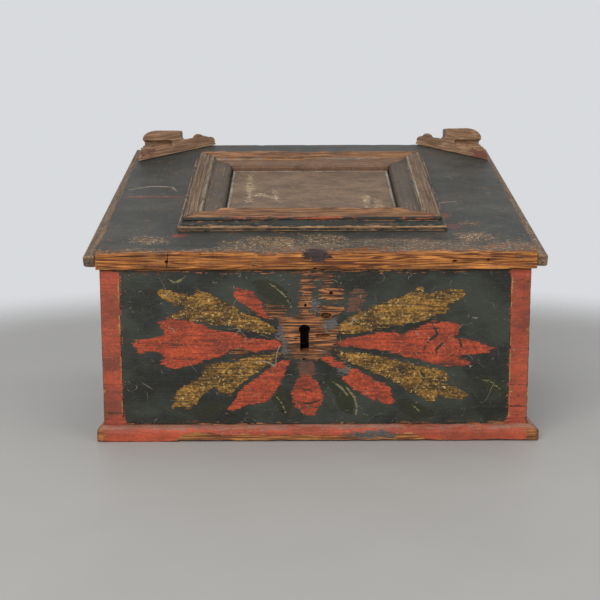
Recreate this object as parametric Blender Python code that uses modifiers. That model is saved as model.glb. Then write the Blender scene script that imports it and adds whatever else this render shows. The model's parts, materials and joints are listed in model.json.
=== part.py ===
"""Slant-lid painted desk box: a dovetailed pine case, a sloping lid with a moulded frame, and an iron lock.

World frame: metres, +Z up, +X to the right as the front is faced, -Y out of the front.
The origin lies on the table, under the middle of the whole box.
"""

from math import atan2, cos, hypot, pi, radians, sin, tan

import bmesh
import bpy
from mathutils import Matrix, Vector

# Case
BODY_W = 0.390
BODY_D = 0.302
FRONT_H = 0.158
FRONT_T = 0.017
BACK_T = 0.016
SIDE_T = 0.018
BOTTOM_T = 0.012
BASE_H = 0.0142
BASE_PROUD = 0.0083
BASE_PROUD_LEFT = 0.00581
BASE_PROUD_RIGHT = 0.010126
BASE_FILLET = 0.0058
BASE_TOP_FLAT = 0.0012

# Dovetailed corners
TAIL_PITCH = 0.036
PIN_W = 0.0058
END_PIN_W = 0.0085
TAIL_FLARE = 1 / 6

# Lid
LID_SLOPE = radians(17.3)
LID_T = 0.015
LID_GAP = 0.0012
LID_OVER_FRONT = 0.005
LID_OVER_LEFT = 0.0026
LID_OVER_RIGHT = 0.0042
LID_ARRIS = 0.0012
STRIP_OUT_LEFT = 0.0118
STRIP_OUT_RIGHT = 0.0102
STRIP_TAPER = 0.0040
STRIP_DROP = 0.0035
STRIP_SETBACK = 0.0012
STRIP_ROUND = 0.003

# Moulded frame and the panel inside it
FRAME_W = 0.254
FRAME_D = 0.212
FRAME_FROM_FRONT = 0.0504
FRAME_OFF_CENTRE = -0.0023
FRAME_H = 0.012
FRAME_BASE_H = 0.0022
FRAME_BEAD_R = 0.0012
FRAME_BEAD_IN = 0.0016
FRAME_COVE_IN = 0.0040
FRAME_LIP_OUT = 0.0004
FRAME_LIP_H = 0.0016
REED_COUNT = 4
REED_W = 0.0041
REED_RISE = 0.0010
FRAME_STEP = 0.0042
FRAME_BAND_W = 0.0132
FRAME_INNER_R = 0.0044
FRAME_INNER_TURN = 125
PANEL_GAP = 0.0014
PANEL_T = 0.0024
PANEL_CHAMFER = 0.0010

# Carved corner brackets, each set across a back corner of the lid; heights are over the lid's back edge
BRACKET_ALONG_SIDE = 0.062
BRACKET_ALONG_BACK_LEFT = 0.083
BRACKET_ALONG_BACK_RIGHT = 0.076
BRACKET_INSET_LEFT = 0.003
BRACKET_INSET_RIGHT = 0.0010
BRACKET_T = 0.022
BRACKET_BASE_TOP = -0.0025
BRACKET_BASE_LEAN = 0.0018
BRACKET_HEEL = -0.0145
BRACKET_COVE_R = 0.0038
BRACKET_COVE_L = 0.044
BRACKET_END_COVE = 0.0016
BRACKET_LOBE_IN_LEFT = 0.0046
BRACKET_LOBE_IN_RIGHT = 0.0073
BRACKET_LOBE_REACH = 0.016
BRACKET_LOBE_MID = 0.0070
BRACKET_LOBE_TOP_LEFT = 0.0166
BRACKET_LOBE_TOP_RIGHT = 0.0182
BRACKET_LOBE_END = 0.0440
BRACKET_EDGE_R = 0.002
BRACKET_HOLLOW_H = 0.0068
BRACKET_HOLLOW_R = 0.0030
BRACKET_BUMP_X = 0.0626
BRACKET_BUMP_R = 0.0056
BRACKET_BUMP_H = 0.0130
BRACKET_BUMP_ARC = (170, 45)
BRACKET_TAIL_R = 0.0052
BRACKET_TAIL_H = 0.0098
BRACKET_TAIL_IN = 0.0065
BRACKET_TAIL_ARC = (110, -15)

# Strap hinges
HINGE_X = 0.112
HINGE_W = 0.024
HINGE_T = 0.0016
KNUCKLE_R = 0.0036
KNUCKLE_LAP = 0.0001
PIN_R = 0.0017
PIN_HEAD_R = 0.0028
PIN_TIP_R = 0.0020
PIN_HEAD_H = 0.0012
STRAP_L = 0.092
STRAP_TIP_R = 0.007
LEAF_L = 0.062
LEAF_TIP_R = 0.008

# Lock, keyhole and the staple on the lid
KEY_X = -0.010
KEY_R = 0.0053
KEY_SLOT_W = 0.008
KEY_BIT_R = 0.0198
KEY_REST_R = 0.0024
TONGUE_FROM_FRONT = 0.025
TONGUE_W = 0.012
TONGUE_T = 0.005
TONGUE_L = 0.030
TONGUE_CORNER_R = 0.003
TONGUE_EYE_W = 0.0075
TONGUE_EYE_H = 0.011
TONGUE_EYE_DROP = 0.021
STAPLE_W = 0.044
STAPLE_D = 0.014
STAPLE_T = 0.0016
BOLT_T = 0.0032
BOLT_H = 0.009
BOLT_TRAVEL = 0.010
BOLT_BACK = 0.041
BOLT_POST_W = 0.022
BOLT_TAIL_L = 0.018
BOLT_TAIL_H = 0.017
BOLT_TALON_W = 0.012
BOLT_TALON_D = 0.0043
STUD_R = 0.0025
STUD_COLLAR_R = 0.0045
STUD_HEAD_H = 0.0016
STUD_LEFT = 0.025
STUD_RIGHT = 0.012
STUD_ABOVE_TAIL = 0.0118
SPRING_T = 0.0012
SPRING_W = 0.0048
SPRING_FOOT = 0.007
SPRING_DROP = 0.022
SPRING_REACH = 0.009
SPRING_STEPS = 10
PLATE_T = 0.002
PLATE_BELOW = 0.005
CASE_T = 0.0015
CASE_FLANGE = 0.009

# Forged nails
NAIL_SIDES = 4
NAIL_HEAD_R = 0.0036
NAIL_HEAD_H = 0.0016
NAIL_RIM_H = 0.0005
NAIL_SHANK_R = 0.0016
NAIL_POINT_R = 0.0007
NAIL_L = 0.0125
NAIL_FROM_END = 0.016
NAIL_FROM_EDGE = 0.007

# Clearances: between seated faces, round what moves, and how far a cutter runs past a face
FIT = 0.0003
RUN = 0.0010
PAST = 0.004
TURN_STEPS = 20
SMOOTH_BELOW = radians(32)
MERGE = 1e-6

# Places worked out from the sizes above
FRONT_Y = -(BODY_D + FIT + 2 * KNUCKLE_R - BASE_PROUD) / 2
BACK_Y = FRONT_Y + BODY_D
INSIDE_Y = FRONT_Y + FRONT_T
FRONT_SHOULDER = INSIDE_Y + FIT
BACK_SHOULDER = BACK_Y - BACK_T - FIT
CASE_Z = BOTTOM_T + FIT
SLOPE_TAN = tan(LID_SLOPE)
LID_UNDER = KNUCKLE_R + FIT
LID_TOP = LID_UNDER + LID_T
LID_LEFT = -BODY_W / 2 - LID_OVER_LEFT
LID_RIGHT = BODY_W / 2 + LID_OVER_RIGHT
LID_FRONT_Y = FRONT_Y - LID_OVER_FRONT
AXIS_Y = BACK_Y + FIT + KNUCKLE_R
AXIS_Z = FRONT_H + (AXIS_Y - FRONT_Y) * SLOPE_TAN + (LID_GAP - LID_UNDER) / cos(LID_SLOPE)
KNUCKLE_W = HINGE_W / 3

# Axis changes for an outline drawn in its own X and Y and given a depth along Z
DEPTH_ON_X = Matrix(((0, 0, 1, 0), (1, 0, 0, 0), (0, 1, 0, 0), (0, 0, 0, 1)))
DEPTH_ON_Y = Matrix(((1, 0, 0, 0), (0, 0, -1, 0), (0, 1, 0, 0), (0, 0, 0, 1)))
DEPTH_ON_Z = Matrix.Identity(4)
POINT_UP = (0, 0, 0)
POINT_FORWARD = (pi / 2, 0, 0)
POINT_BACK = (-pi / 2, 0, 0)

# Colours, each with a roughness and a metallic value
PAINT_DARK = ((0.035, 0.040, 0.033), 0.6, 0.0)
PAINT_RED = ((0.42, 0.075, 0.035), 0.6, 0.0)
BARE_PINE = ((0.36, 0.21, 0.10), 0.7, 0.0)
WORN_BROWN = ((0.20, 0.12, 0.065), 0.65, 0.0)
IRON = ((0.085, 0.072, 0.062), 0.55, 0.9)
STEEL = ((0.16, 0.15, 0.14), 0.4, 1.0)


def lid_v(y, n):
    """The lid's own depth coordinate of a world depth, at a height over the hinge axis."""
    return (y - AXIS_Y + n * sin(LID_SLOPE)) / cos(LID_SLOPE)


def lid_world(v, n):
    """The world depth and height of a point given in the lid's own depth and height."""
    y = AXIS_Y + v * cos(LID_SLOPE) - n * sin(LID_SLOPE)
    return y, AXIS_Z + v * sin(LID_SLOPE) + n * cos(LID_SLOPE)


# Places of the lock, which hangs on the staple's tongue: the bolt is level with the eye
LID_FRONT = lid_v(LID_FRONT_Y, LID_TOP)
LID_BACK = lid_v(BACK_Y, LID_TOP)
TONGUE_V = lid_v(FRONT_Y + TONGUE_FROM_FRONT, LID_UNDER)
BOLT_Y, BOLT_Z = lid_world(TONGUE_V, LID_UNDER - TONGUE_EYE_DROP)
TONGUE_LOW_Z = lid_world(TONGUE_V - TONGUE_W / 2, LID_UNDER - TONGUE_L)[1]
TONGUE_BACK_Y = lid_world(TONGUE_V + TONGUE_W / 2, LID_UNDER - TONGUE_L)[0]
TAIL_TOP_Z = TONGUE_LOW_Z - 2 * RUN
TAIL_LOW_Z = TAIL_TOP_Z - BOLT_TAIL_H
KEY_Z = TAIL_LOW_Z + BOLT_TALON_D - KEY_BIT_R
PLATE_Y = INSIDE_Y + FIT
CASE_Y = PLATE_Y + PLATE_T + FIT
CASE_BACK_Y = TONGUE_BACK_Y + RUN
CASE_LEFT = KEY_X - BOLT_BACK - RUN
CASE_RIGHT = KEY_X + BOLT_TAIL_L + BOLT_TRAVEL + RUN
CASE_LOW_Z = KEY_Z - KEY_BIT_R - 2 * RUN
CASE_TOP_Z = BOLT_Z + BOLT_H / 2 + RUN


def clear_scene():
    """Remove whatever objects the scene holds."""
    for old in list(bpy.data.objects):
        bpy.data.objects.remove(old, do_unlink=True)


def collection(name):
    """A new collection, linked to the scene."""
    made = bpy.data.collections.new(name)
    bpy.context.scene.collection.children.link(made)
    return made


clear_scene()
PARTS = collection("desk_box")
CUTTERS = collection("cutters")


def empty(name, place, turn=(0, 0, 0)):
    """A parent empty, on the axis that its pieces move about."""
    made = bpy.data.objects.new(name, None)
    made.location = place
    made.rotation_euler = turn
    PARTS.objects.link(made)
    return made


CASE_FRAME = empty("case_frame", (0, 0, 0))
LID_FRAME = empty("lid_frame", (0, AXIS_Y, AXIS_Z), (LID_SLOPE, 0, 0))


def material(name, finish):
    """A Principled material from a colour, a roughness and a metallic value."""
    colour, roughness, metallic = finish
    made = bpy.data.materials.new(name)
    made.use_nodes = True
    shader = made.node_tree.nodes["Principled BSDF"]
    shader.inputs["Base Color"].default_value = (*colour, 1)
    shader.inputs["Roughness"].default_value = roughness
    shader.inputs["Metallic"].default_value = metallic
    made.diffuse_color = (*colour, 1)
    return made


def placed(name, mesh, group, parent, place, turn):
    """An object of a mesh, set under its parent and put in a collection."""
    made = bpy.data.objects.new(name, mesh)
    made.parent = parent
    made.location = place
    made.rotation_euler = turn
    group.objects.link(made)
    return made


def piece(name, mesh, finish, parent=CASE_FRAME, place=(0, 0, 0), turn=(0, 0, 0)):
    """One named sub-part of the box, with its own material."""
    mesh.name = name
    mesh.materials.append(material(name, finish))
    mesh.shade_smooth()
    mesh.set_sharp_from_angle(angle=SMOOTH_BELOW)
    return placed(name, mesh, PARTS, parent, place, turn)


def tool(mesh, parent=CASE_FRAME, place=(0, 0, 0), turn=(0, 0, 0)):
    """A shape that cuts or joins another, and isn't a sub-part itself."""
    made = placed("tool", mesh, CUTTERS, parent, place, turn)
    made.hide_render = True
    made.display_type = "WIRE"
    return made


def combine(target, other, operation):
    """A Boolean of one object with another."""
    step = target.modifiers.new(operation.lower(), "BOOLEAN")
    step.operation = operation
    step.object = other
    step.solver = "EXACT"


def cut(target, other):
    """Take a tool's shape out of a piece."""
    combine(target, other, "DIFFERENCE")


def join(target, other):
    """Add a tool's shape to a piece, as one body."""
    combine(target, other, "UNION")


def mesh_of(made):
    """The evaluated mesh of a construction object, which is then removed."""
    bpy.context.scene.collection.objects.link(made)
    graph = bpy.context.evaluated_depsgraph_get()
    mesh = bpy.data.meshes.new_from_object(made.evaluated_get(graph))
    bpy.data.objects.remove(made, do_unlink=True)
    shape = bmesh.new()
    shape.from_mesh(mesh)
    bmesh.ops.remove_doubles(shape, verts=shape.verts, dist=MERGE)
    bmesh.ops.recalc_face_normals(shape, faces=shape.faces)
    shape.to_mesh(mesh)
    shape.free()
    return mesh


def slab(outlines, start, end, axes):
    """A flat outline, with any holes after it, given a depth from start to end along its axis."""
    curve = bpy.data.curves.new("outline", "CURVE")
    curve.dimensions = "2D"
    curve.fill_mode = "BOTH"
    curve.extrude = abs(end - start) / 2
    for outline in outlines:
        spline = curve.splines.new("POLY")
        spline.points.add(len(outline) - 1)
        for point, (across, up) in zip(spline.points, outline):
            point.co = (across, up, 0, 1)
        spline.use_cyclic_u = True
    mesh = mesh_of(bpy.data.objects.new("outline", curve))
    mesh.transform(axes @ Matrix.Translation((0, 0, (start + end) / 2)))
    return mesh


def block(low, high):
    """A box between two corners."""
    low, high = Vector(low), Vector(high)
    shape = bmesh.new()
    place = Matrix.Translation((low + high) / 2) @ Matrix.Diagonal((*(high - low), 1))
    bmesh.ops.create_cube(shape, size=1, matrix=place)
    mesh = bpy.data.meshes.new("block")
    shape.to_mesh(mesh)
    shape.free()
    return mesh


def turned(profile, steps=TURN_STEPS):
    """A profile of (radius, height) points, given from the top down, turned about Z."""
    shape = bmesh.new()
    points = [shape.verts.new((radius, 0, height)) for radius, height in profile]
    for upper, lower in zip(points, points[1:]):
        shape.edges.new((upper, lower))
    mesh = bpy.data.meshes.new("profile")
    shape.to_mesh(mesh)
    shape.free()
    made = bpy.data.objects.new("profile", mesh)
    screw = made.modifiers.new("turn", "SCREW")
    screw.steps = steps
    screw.render_steps = steps
    screw.use_merge_vertices = True
    screw.merge_threshold = MERGE
    return mesh_of(made)


def rod_on_x(radius, start, end):
    """A round bar along X about the local origin."""
    mesh = turned([(0, end), (radius, end), (radius, start), (0, start)])
    mesh.transform(Matrix.Rotation(pi / 2, 4, "Y"))
    return mesh


def arc(centre, radius, start, end, steps=8):
    """Points on an arc, with its angles in degrees."""
    angles = [radians(start + (end - start) * i / steps) for i in range(steps + 1)]
    return [(centre[0] + radius * cos(a), centre[1] + radius * sin(a)) for a in angles]


def wall_top(y):
    """The height of the case's sloping rim at a depth."""
    return FRONT_H + (y - FRONT_Y) * SLOPE_TAN


def dovetails(y_end, y_shoulder, grow=0.0, past=0.0):
    """One corner's dovetails as (y, z) outlines, bottom to top, widest at the board's end.

    A socket is the same outline, larger by grow and run past both faces of the board that it is cut in.
    """
    height = min(wall_top(y_end), wall_top(y_shoulder)) - CASE_Z
    count = max(1, round(height / TAIL_PITCH))
    width = (height - 2 * END_PIN_W - (count - 1) * PIN_W) / count
    inward = 1 if y_shoulder > y_end else -1
    narrow = TAIL_FLARE * (abs(y_shoulder - y_end) + past) - grow
    wide = TAIL_FLARE * past + grow
    tails = []
    for i in range(count):
        low = CASE_Z + END_PIN_W + i * (width + PIN_W)
        high = low + width
        tails.append(
            [
                (y_shoulder + inward * past, low + narrow),
                (y_end - inward * past, low - wide),
                (y_end - inward * past, high + wide),
                (y_shoulder + inward * past, high - narrow),
            ]
        )
    return tails


def side_board(name, x_in, x_out):
    """A side of the case: a sloping-topped board with dovetails cut on both ends."""
    front = [point for tail in dovetails(FRONT_Y, FRONT_SHOULDER) for point in tail]
    back = [point for tail in dovetails(BACK_Y, BACK_SHOULDER) for point in tail]
    outline = (
        [(BACK_SHOULDER, CASE_Z), (FRONT_SHOULDER, CASE_Z)]
        + front
        + [(FRONT_SHOULDER, wall_top(FRONT_SHOULDER)), (BACK_SHOULDER, wall_top(BACK_SHOULDER))]
        + back[::-1]
    )
    return piece(name, slab([outline], x_in, x_out, DEPTH_ON_X), PAINT_DARK)


def pin_board(name, y_out, y_in, y_shoulder):
    """The front or the back: a full-width board, with sockets for the sides' dovetails."""
    outline = [(y_out, CASE_Z), (y_in, CASE_Z), (y_in, wall_top(y_in)), (y_out, wall_top(y_out))]
    board = piece(name, slab([outline], -BODY_W / 2, BODY_W / 2, DEPTH_ON_X), PAINT_DARK)
    socket_in = BODY_W / 2 - SIDE_T - FIT
    for tail in dovetails(y_out, y_shoulder, FIT, PAST):
        for side in (-1, 1):
            mesh = slab([tail], side * socket_in, side * (BODY_W / 2 + PAST), DEPTH_ON_X)
            cut(board, tool(mesh))
    return board


def mitred(profile, length, left_mitre=True, right_mitre=True):
    """A moulding along X whose profile runs inwards from its outer edge, with ends mitred at 45 degrees."""
    mesh = slab([profile], -length / 2, length / 2, DEPTH_ON_X)
    for point in mesh.vertices:
        if point.co.x < 0 and left_mitre:
            point.co.x += point.co.y + FIT
        elif point.co.x > 0 and right_mitre:
            point.co.x -= point.co.y + FIT
    return mesh


def base_profile():
    """The base moulding from its outer edge: a fillet with a quarter round over it."""
    depth = BASE_PROUD - FIT
    across, rise = depth - BASE_TOP_FLAT, BASE_H - BASE_FILLET
    curve = [(across + across * c, BASE_FILLET + rise * s) for c, s in arc((0, 0), 1, 180, 90)]
    return [(depth, 0), (0, 0)] + curve + [(depth, BASE_H)]


def frame_profile():
    """The lid frame from its outer edge: fillet, bead, cove, lip, reeds, a step to a band, and a bead."""
    bead = (FRAME_BEAD_IN, FRAME_BASE_H + FRAME_BEAD_R)
    cove_low = FRAME_BASE_H + 2 * FRAME_BEAD_R
    reed_base = FRAME_H - REED_RISE
    cove_high = reed_base - FRAME_LIP_H
    cove = [
        (FRAME_BEAD_IN + FRAME_COVE_IN * c, cove_high + (cove_high - cove_low) * s)
        for c, s in arc((0, 0), 1, -90, 0, 5)
    ]
    lip = FRAME_BEAD_IN + FRAME_COVE_IN - FRAME_LIP_OUT
    reeds = [
        (lip + (i + 0.5 + 0.5 * c) * REED_W, reed_base + REED_RISE * s)
        for i in range(REED_COUNT)
        for c, s in arc((0, 0), 1, 180, 0, 6)[:-1]
    ]
    ridge_end = lip + REED_COUNT * REED_W
    band = FRAME_H - FRAME_STEP
    band_end = ridge_end + FRAME_BAND_W
    turn = radians(FRAME_INNER_TURN)
    centre = (band_end - FRAME_INNER_R * cos(turn), band - FRAME_INNER_R * sin(turn))
    inner = arc(centre, FRAME_INNER_R, FRAME_INNER_TURN, 0)
    return (
        [(0, 0), (0, FRAME_BASE_H)]
        + arc(bead, FRAME_BEAD_R, 270, 90, 6)[:-1]
        + cove
        + [(lip, cove_high)]
        + reeds
        + [(ridge_end, reed_base), (ridge_end, band), (band_end, band)]
        + inner[1:]
        + [(inner[-1][0], 0)]
    )


def build_case():
    """The five boards of the case and the three mouldings round its foot."""
    front_board = pin_board("front_board", FRONT_Y, INSIDE_Y, FRONT_SHOULDER)
    back_board = pin_board("back_board", BACK_Y, BACK_Y - BACK_T, BACK_SHOULDER)
    inner = BODY_W / 2 - SIDE_T
    side_board("left_side_board", -inner, -BODY_W / 2)
    side_board("right_side_board", inner, BODY_W / 2)
    foot = block((-BODY_W / 2, FRONT_Y, 0), (BODY_W / 2, BACK_Y, BOTTOM_T))
    piece("bottom_board", foot, BARE_PINE)
    profile = base_profile()
    edge_x, edge_y = BODY_W / 2 + BASE_PROUD, FRONT_Y - BASE_PROUD
    run, middle = BACK_Y - edge_y, (BACK_Y + edge_y) / 2
    left_x, right_x = BODY_W / 2 + BASE_PROUD_LEFT, BODY_W / 2 + BASE_PROUD_RIGHT
    left_share, right_share = BASE_PROUD_LEFT / BASE_PROUD, BASE_PROUD_RIGHT / BASE_PROUD
    front = mitred(profile, 2 * edge_x)
    for point in front.vertices:
        if point.co.x < 0:
            point.co.x = -BODY_W / 2 + (point.co.x + BODY_W / 2) * left_share
        else:
            point.co.x = BODY_W / 2 + (point.co.x - BODY_W / 2) * right_share
    piece("base_moulding_front", front, PAINT_RED, place=(0, edge_y, 0))
    left = mitred(profile, run, left_mitre=False)
    for point in left.vertices:
        point.co.y *= left_share
    piece("base_moulding_left", left, PAINT_RED, place=(-left_x, middle, 0), turn=(0, 0, -pi / 2))
    right = mitred(profile, run, right_mitre=False)
    for point in right.vertices:
        point.co.y *= right_share
    piece("base_moulding_right", right, PAINT_RED, place=(right_x, middle, 0), turn=(0, 0, pi / 2))
    return front_board, back_board


def build_lid_board():
    """The lid board, plumb at its front and back, and the tapered strip nailed over each end of its grain."""
    low_back = lid_v(BACK_Y, LID_UNDER)
    outline = [
        (lid_v(LID_FRONT_Y, LID_UNDER) + LID_ARRIS, LID_UNDER),
        (low_back, LID_UNDER),
        (LID_BACK, LID_TOP),
        (LID_FRONT + LID_ARRIS, LID_TOP),
        (lid_v(LID_FRONT_Y, LID_TOP - LID_ARRIS), LID_TOP - LID_ARRIS),
        (lid_v(LID_FRONT_Y, LID_UNDER + LID_ARRIS), LID_UNDER + LID_ARRIS),
    ]
    lid = piece("lid_board", slab([outline], LID_LEFT, LID_RIGHT, DEPTH_ON_X), PAINT_DARK, LID_FRAME)
    high = LID_TOP - STRIP_DROP
    ends = (("lid_strip_left", -1, -LID_LEFT, STRIP_OUT_LEFT), ("lid_strip_right", 1, LID_RIGHT, STRIP_OUT_RIGHT))
    for name, side, edge, out in ends:
        inner, outer = edge + FIT, edge + out
        rounded = arc((outer - STRIP_ROUND, high - STRIP_ROUND), STRIP_ROUND, 90, 0, 5)
        profile = [(inner, high)] + rounded + [(outer, LID_UNDER), (inner, LID_UNDER)]
        outline = [(side * u, n) for u, n in profile]
        mesh = slab([outline], -low_back, -LID_FRONT - STRIP_SETBACK, DEPTH_ON_Y)
        for point in mesh.vertices:
            if point.co.y > low_back - MERGE and abs(point.co.x) > inner + MERGE:
                point.co.x -= side * STRIP_TAPER
        piece(name, mesh, WORN_BROWN, LID_FRAME)
    return lid


def build_frame():
    """The four mitred mouldings on the lid and the panel that they hold."""
    profile = frame_profile()
    section_w = profile[-1][0]
    front = LID_FRONT + FRAME_FROM_FRONT
    back, middle = front + FRAME_D, front + FRAME_D / 2
    left, right = FRAME_OFF_CENTRE - FRAME_W / 2, FRAME_OFF_CENTRE + FRAME_W / 2
    seat = LID_TOP + FIT
    sides = (
        ("frame_moulding_front", FRAME_W, (FRAME_OFF_CENTRE, front, seat), 0),
        ("frame_moulding_back", FRAME_W, (FRAME_OFF_CENTRE, back, seat), pi),
        ("frame_moulding_left", FRAME_D, (left, middle, seat), -pi / 2),
        ("frame_moulding_right", FRAME_D, (right, middle, seat), pi / 2),
    )
    for name, length, place, turn in sides:
        piece(name, mitred(profile, length), WORN_BROWN, LID_FRAME, place, (0, 0, turn))
    half_w = FRAME_W / 2 - section_w - PANEL_GAP
    half_d = FRAME_D / 2 - section_w - PANEL_GAP
    panel = block((-half_w, -half_d, 0), (half_w, half_d, PANEL_T))
    shape = bmesh.new()
    shape.from_mesh(panel)
    upper = [edge for edge in shape.edges if all(point.co.z > PANEL_T / 2 for point in edge.verts)]
    bmesh.ops.bevel(shape, geom=upper, offset=PANEL_CHAMFER, segments=1, affect="EDGES")
    shape.to_mesh(panel)
    shape.free()
    piece("lid_panel", panel, WORN_BROWN, LID_FRAME, (FRAME_OFF_CENTRE, middle, seat))


def bracket_outline(lobe_in, lobe_top, along_back):
    """A corner bracket's scroll from the front, outer end first: base, groove, roll, hollow and two bumps."""
    shoulder, groove_h = lobe_in - BRACKET_BASE_LEAN, BRACKET_BASE_TOP + BRACKET_COVE_R
    roll_x, roll_h = lobe_in + BRACKET_LOBE_REACH, lobe_top - BRACKET_LOBE_MID
    edge = (BRACKET_LOBE_END - BRACKET_EDGE_R, lobe_top - BRACKET_EDGE_R)
    hollow = (BRACKET_LOBE_END + BRACKET_HOLLOW_R, BRACKET_HOLLOW_H + BRACKET_HOLLOW_R)
    bump = (BRACKET_BUMP_X, BRACKET_BUMP_H - BRACKET_BUMP_R)
    tail = (along_back - BRACKET_TAIL_IN, BRACKET_TAIL_H - BRACKET_TAIL_R)
    return (
        [(0, -BRACKET_ALONG_SIDE), (0, BRACKET_HEEL), (shoulder, BRACKET_BASE_TOP)]
        + [(lobe_in + BRACKET_END_COVE * c, groove_h + BRACKET_COVE_R * s) for c, s in arc((0, 0), 1, -90, 90)]
        + [(roll_x + BRACKET_LOBE_REACH * c, BRACKET_LOBE_MID + roll_h * s) for c, s in arc((0, 0), 1, 180, 90)]
        + arc(edge, BRACKET_EDGE_R, 90, 0, 4)
        + arc(hollow, BRACKET_HOLLOW_R, 180, 270, 4)
        + arc(bump, BRACKET_BUMP_R, *BRACKET_BUMP_ARC)
        + arc(tail, BRACKET_TAIL_R, *BRACKET_TAIL_ARC)
        + [(along_back + PAST, -BRACKET_TAIL_R), (along_back + PAST, -BRACKET_ALONG_SIDE)]
    )


def build_brackets():
    """The carved bracket across each back corner: level on top, grooved under its roll, trimmed to the lid."""
    level = (-LID_SLOPE, 0, 0)
    along_side = BRACKET_ALONG_SIDE * cos(LID_SLOPE)
    corners = (
        (
            "corner_bracket_left", -1, LID_LEFT + BRACKET_INSET_LEFT, BRACKET_ALONG_BACK_LEFT,
            BRACKET_LOBE_IN_LEFT, BRACKET_LOBE_TOP_LEFT,
        ),
        (
            "corner_bracket_right", 1, LID_RIGHT - BRACKET_INSET_RIGHT, BRACKET_ALONG_BACK_RIGHT,
            BRACKET_LOBE_IN_RIGHT, BRACKET_LOBE_TOP_RIGHT,
        ),
    )
    for name, side, edge, along_back, lobe_in, lobe_top in corners:
        reach = 2 * hypot(along_side, along_back)
        place = (edge, LID_BACK, LID_TOP)
        outline = [(-side * along, up) for along, up in bracket_outline(lobe_in, lobe_top, along_back)]
        scroll = slab([outline], 0, along_side, DEPTH_ON_Y)
        bracket = piece(name, scroll, WORN_BROWN, LID_FRAME, place, level)
        turn = Matrix.Rotation(-side * atan2(along_side, along_back), 4, "Z")
        face = Matrix.Translation((0, -along_side, 0)) @ turn
        front = block((-reach, -reach, -reach), (reach, 0, reach))
        rear = block((-reach, BRACKET_T, -reach), (reach, reach, reach))
        groove = rod_on_x(BRACKET_COVE_R, -PAST, BRACKET_COVE_L)
        groove.transform(Matrix.Rotation(pi * (side + 1) / 2, 4, "Z"))
        groove.transform(Matrix.Translation((0, 0, BRACKET_BASE_TOP + BRACKET_COVE_R)))
        for waste in (front, rear, groove):
            waste.transform(face)
            cut(bracket, tool(waste, LID_FRAME, place, level))
        under = block((-reach, -reach, -reach), (reach, reach, FIT))
        cut(bracket, tool(under, LID_FRAME, place))


def nail(name, parent, seat, turn, through):
    """A forged nail with its head at the seat, and the hole for it in each piece that it goes through."""
    head = [(NAIL_HEAD_R, 0), (NAIL_HEAD_R, -NAIL_RIM_H), (0, -NAIL_HEAD_H)]
    shank = [(0, NAIL_L), (NAIL_POINT_R, NAIL_L), (NAIL_SHANK_R, 0)]
    piece(name, turned(shank + head, NAIL_SIDES), IRON, parent, seat, turn)
    point_r, shank_r = NAIL_POINT_R + FIT, NAIL_SHANK_R + FIT
    hole = [(0, NAIL_L + FIT), (point_r, NAIL_L + FIT), (shank_r, 0), (shank_r, -PAST), (0, -PAST)]
    cutter = tool(turned(hole, NAIL_SIDES), parent, seat, turn)
    for other in through:
        cut(other, cutter)


def hinge_outline(length, tip_r, neck):
    """Half of a hinge plate's outline, from its knuckles down to a round tip, then mirrored."""
    shoulder = KNUCKLE_R + FIT
    turn = arc((0, tip_r - length), tip_r, -90, 0, 6)
    half = [(0, -length)] + turn[1:] + [(HINGE_W / 2, -length / 2), (HINGE_W / 2, -shoulder)]
    half += neck
    return half + [(-x, y) for x, y in half[:0:-1] if x > 0]


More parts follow.
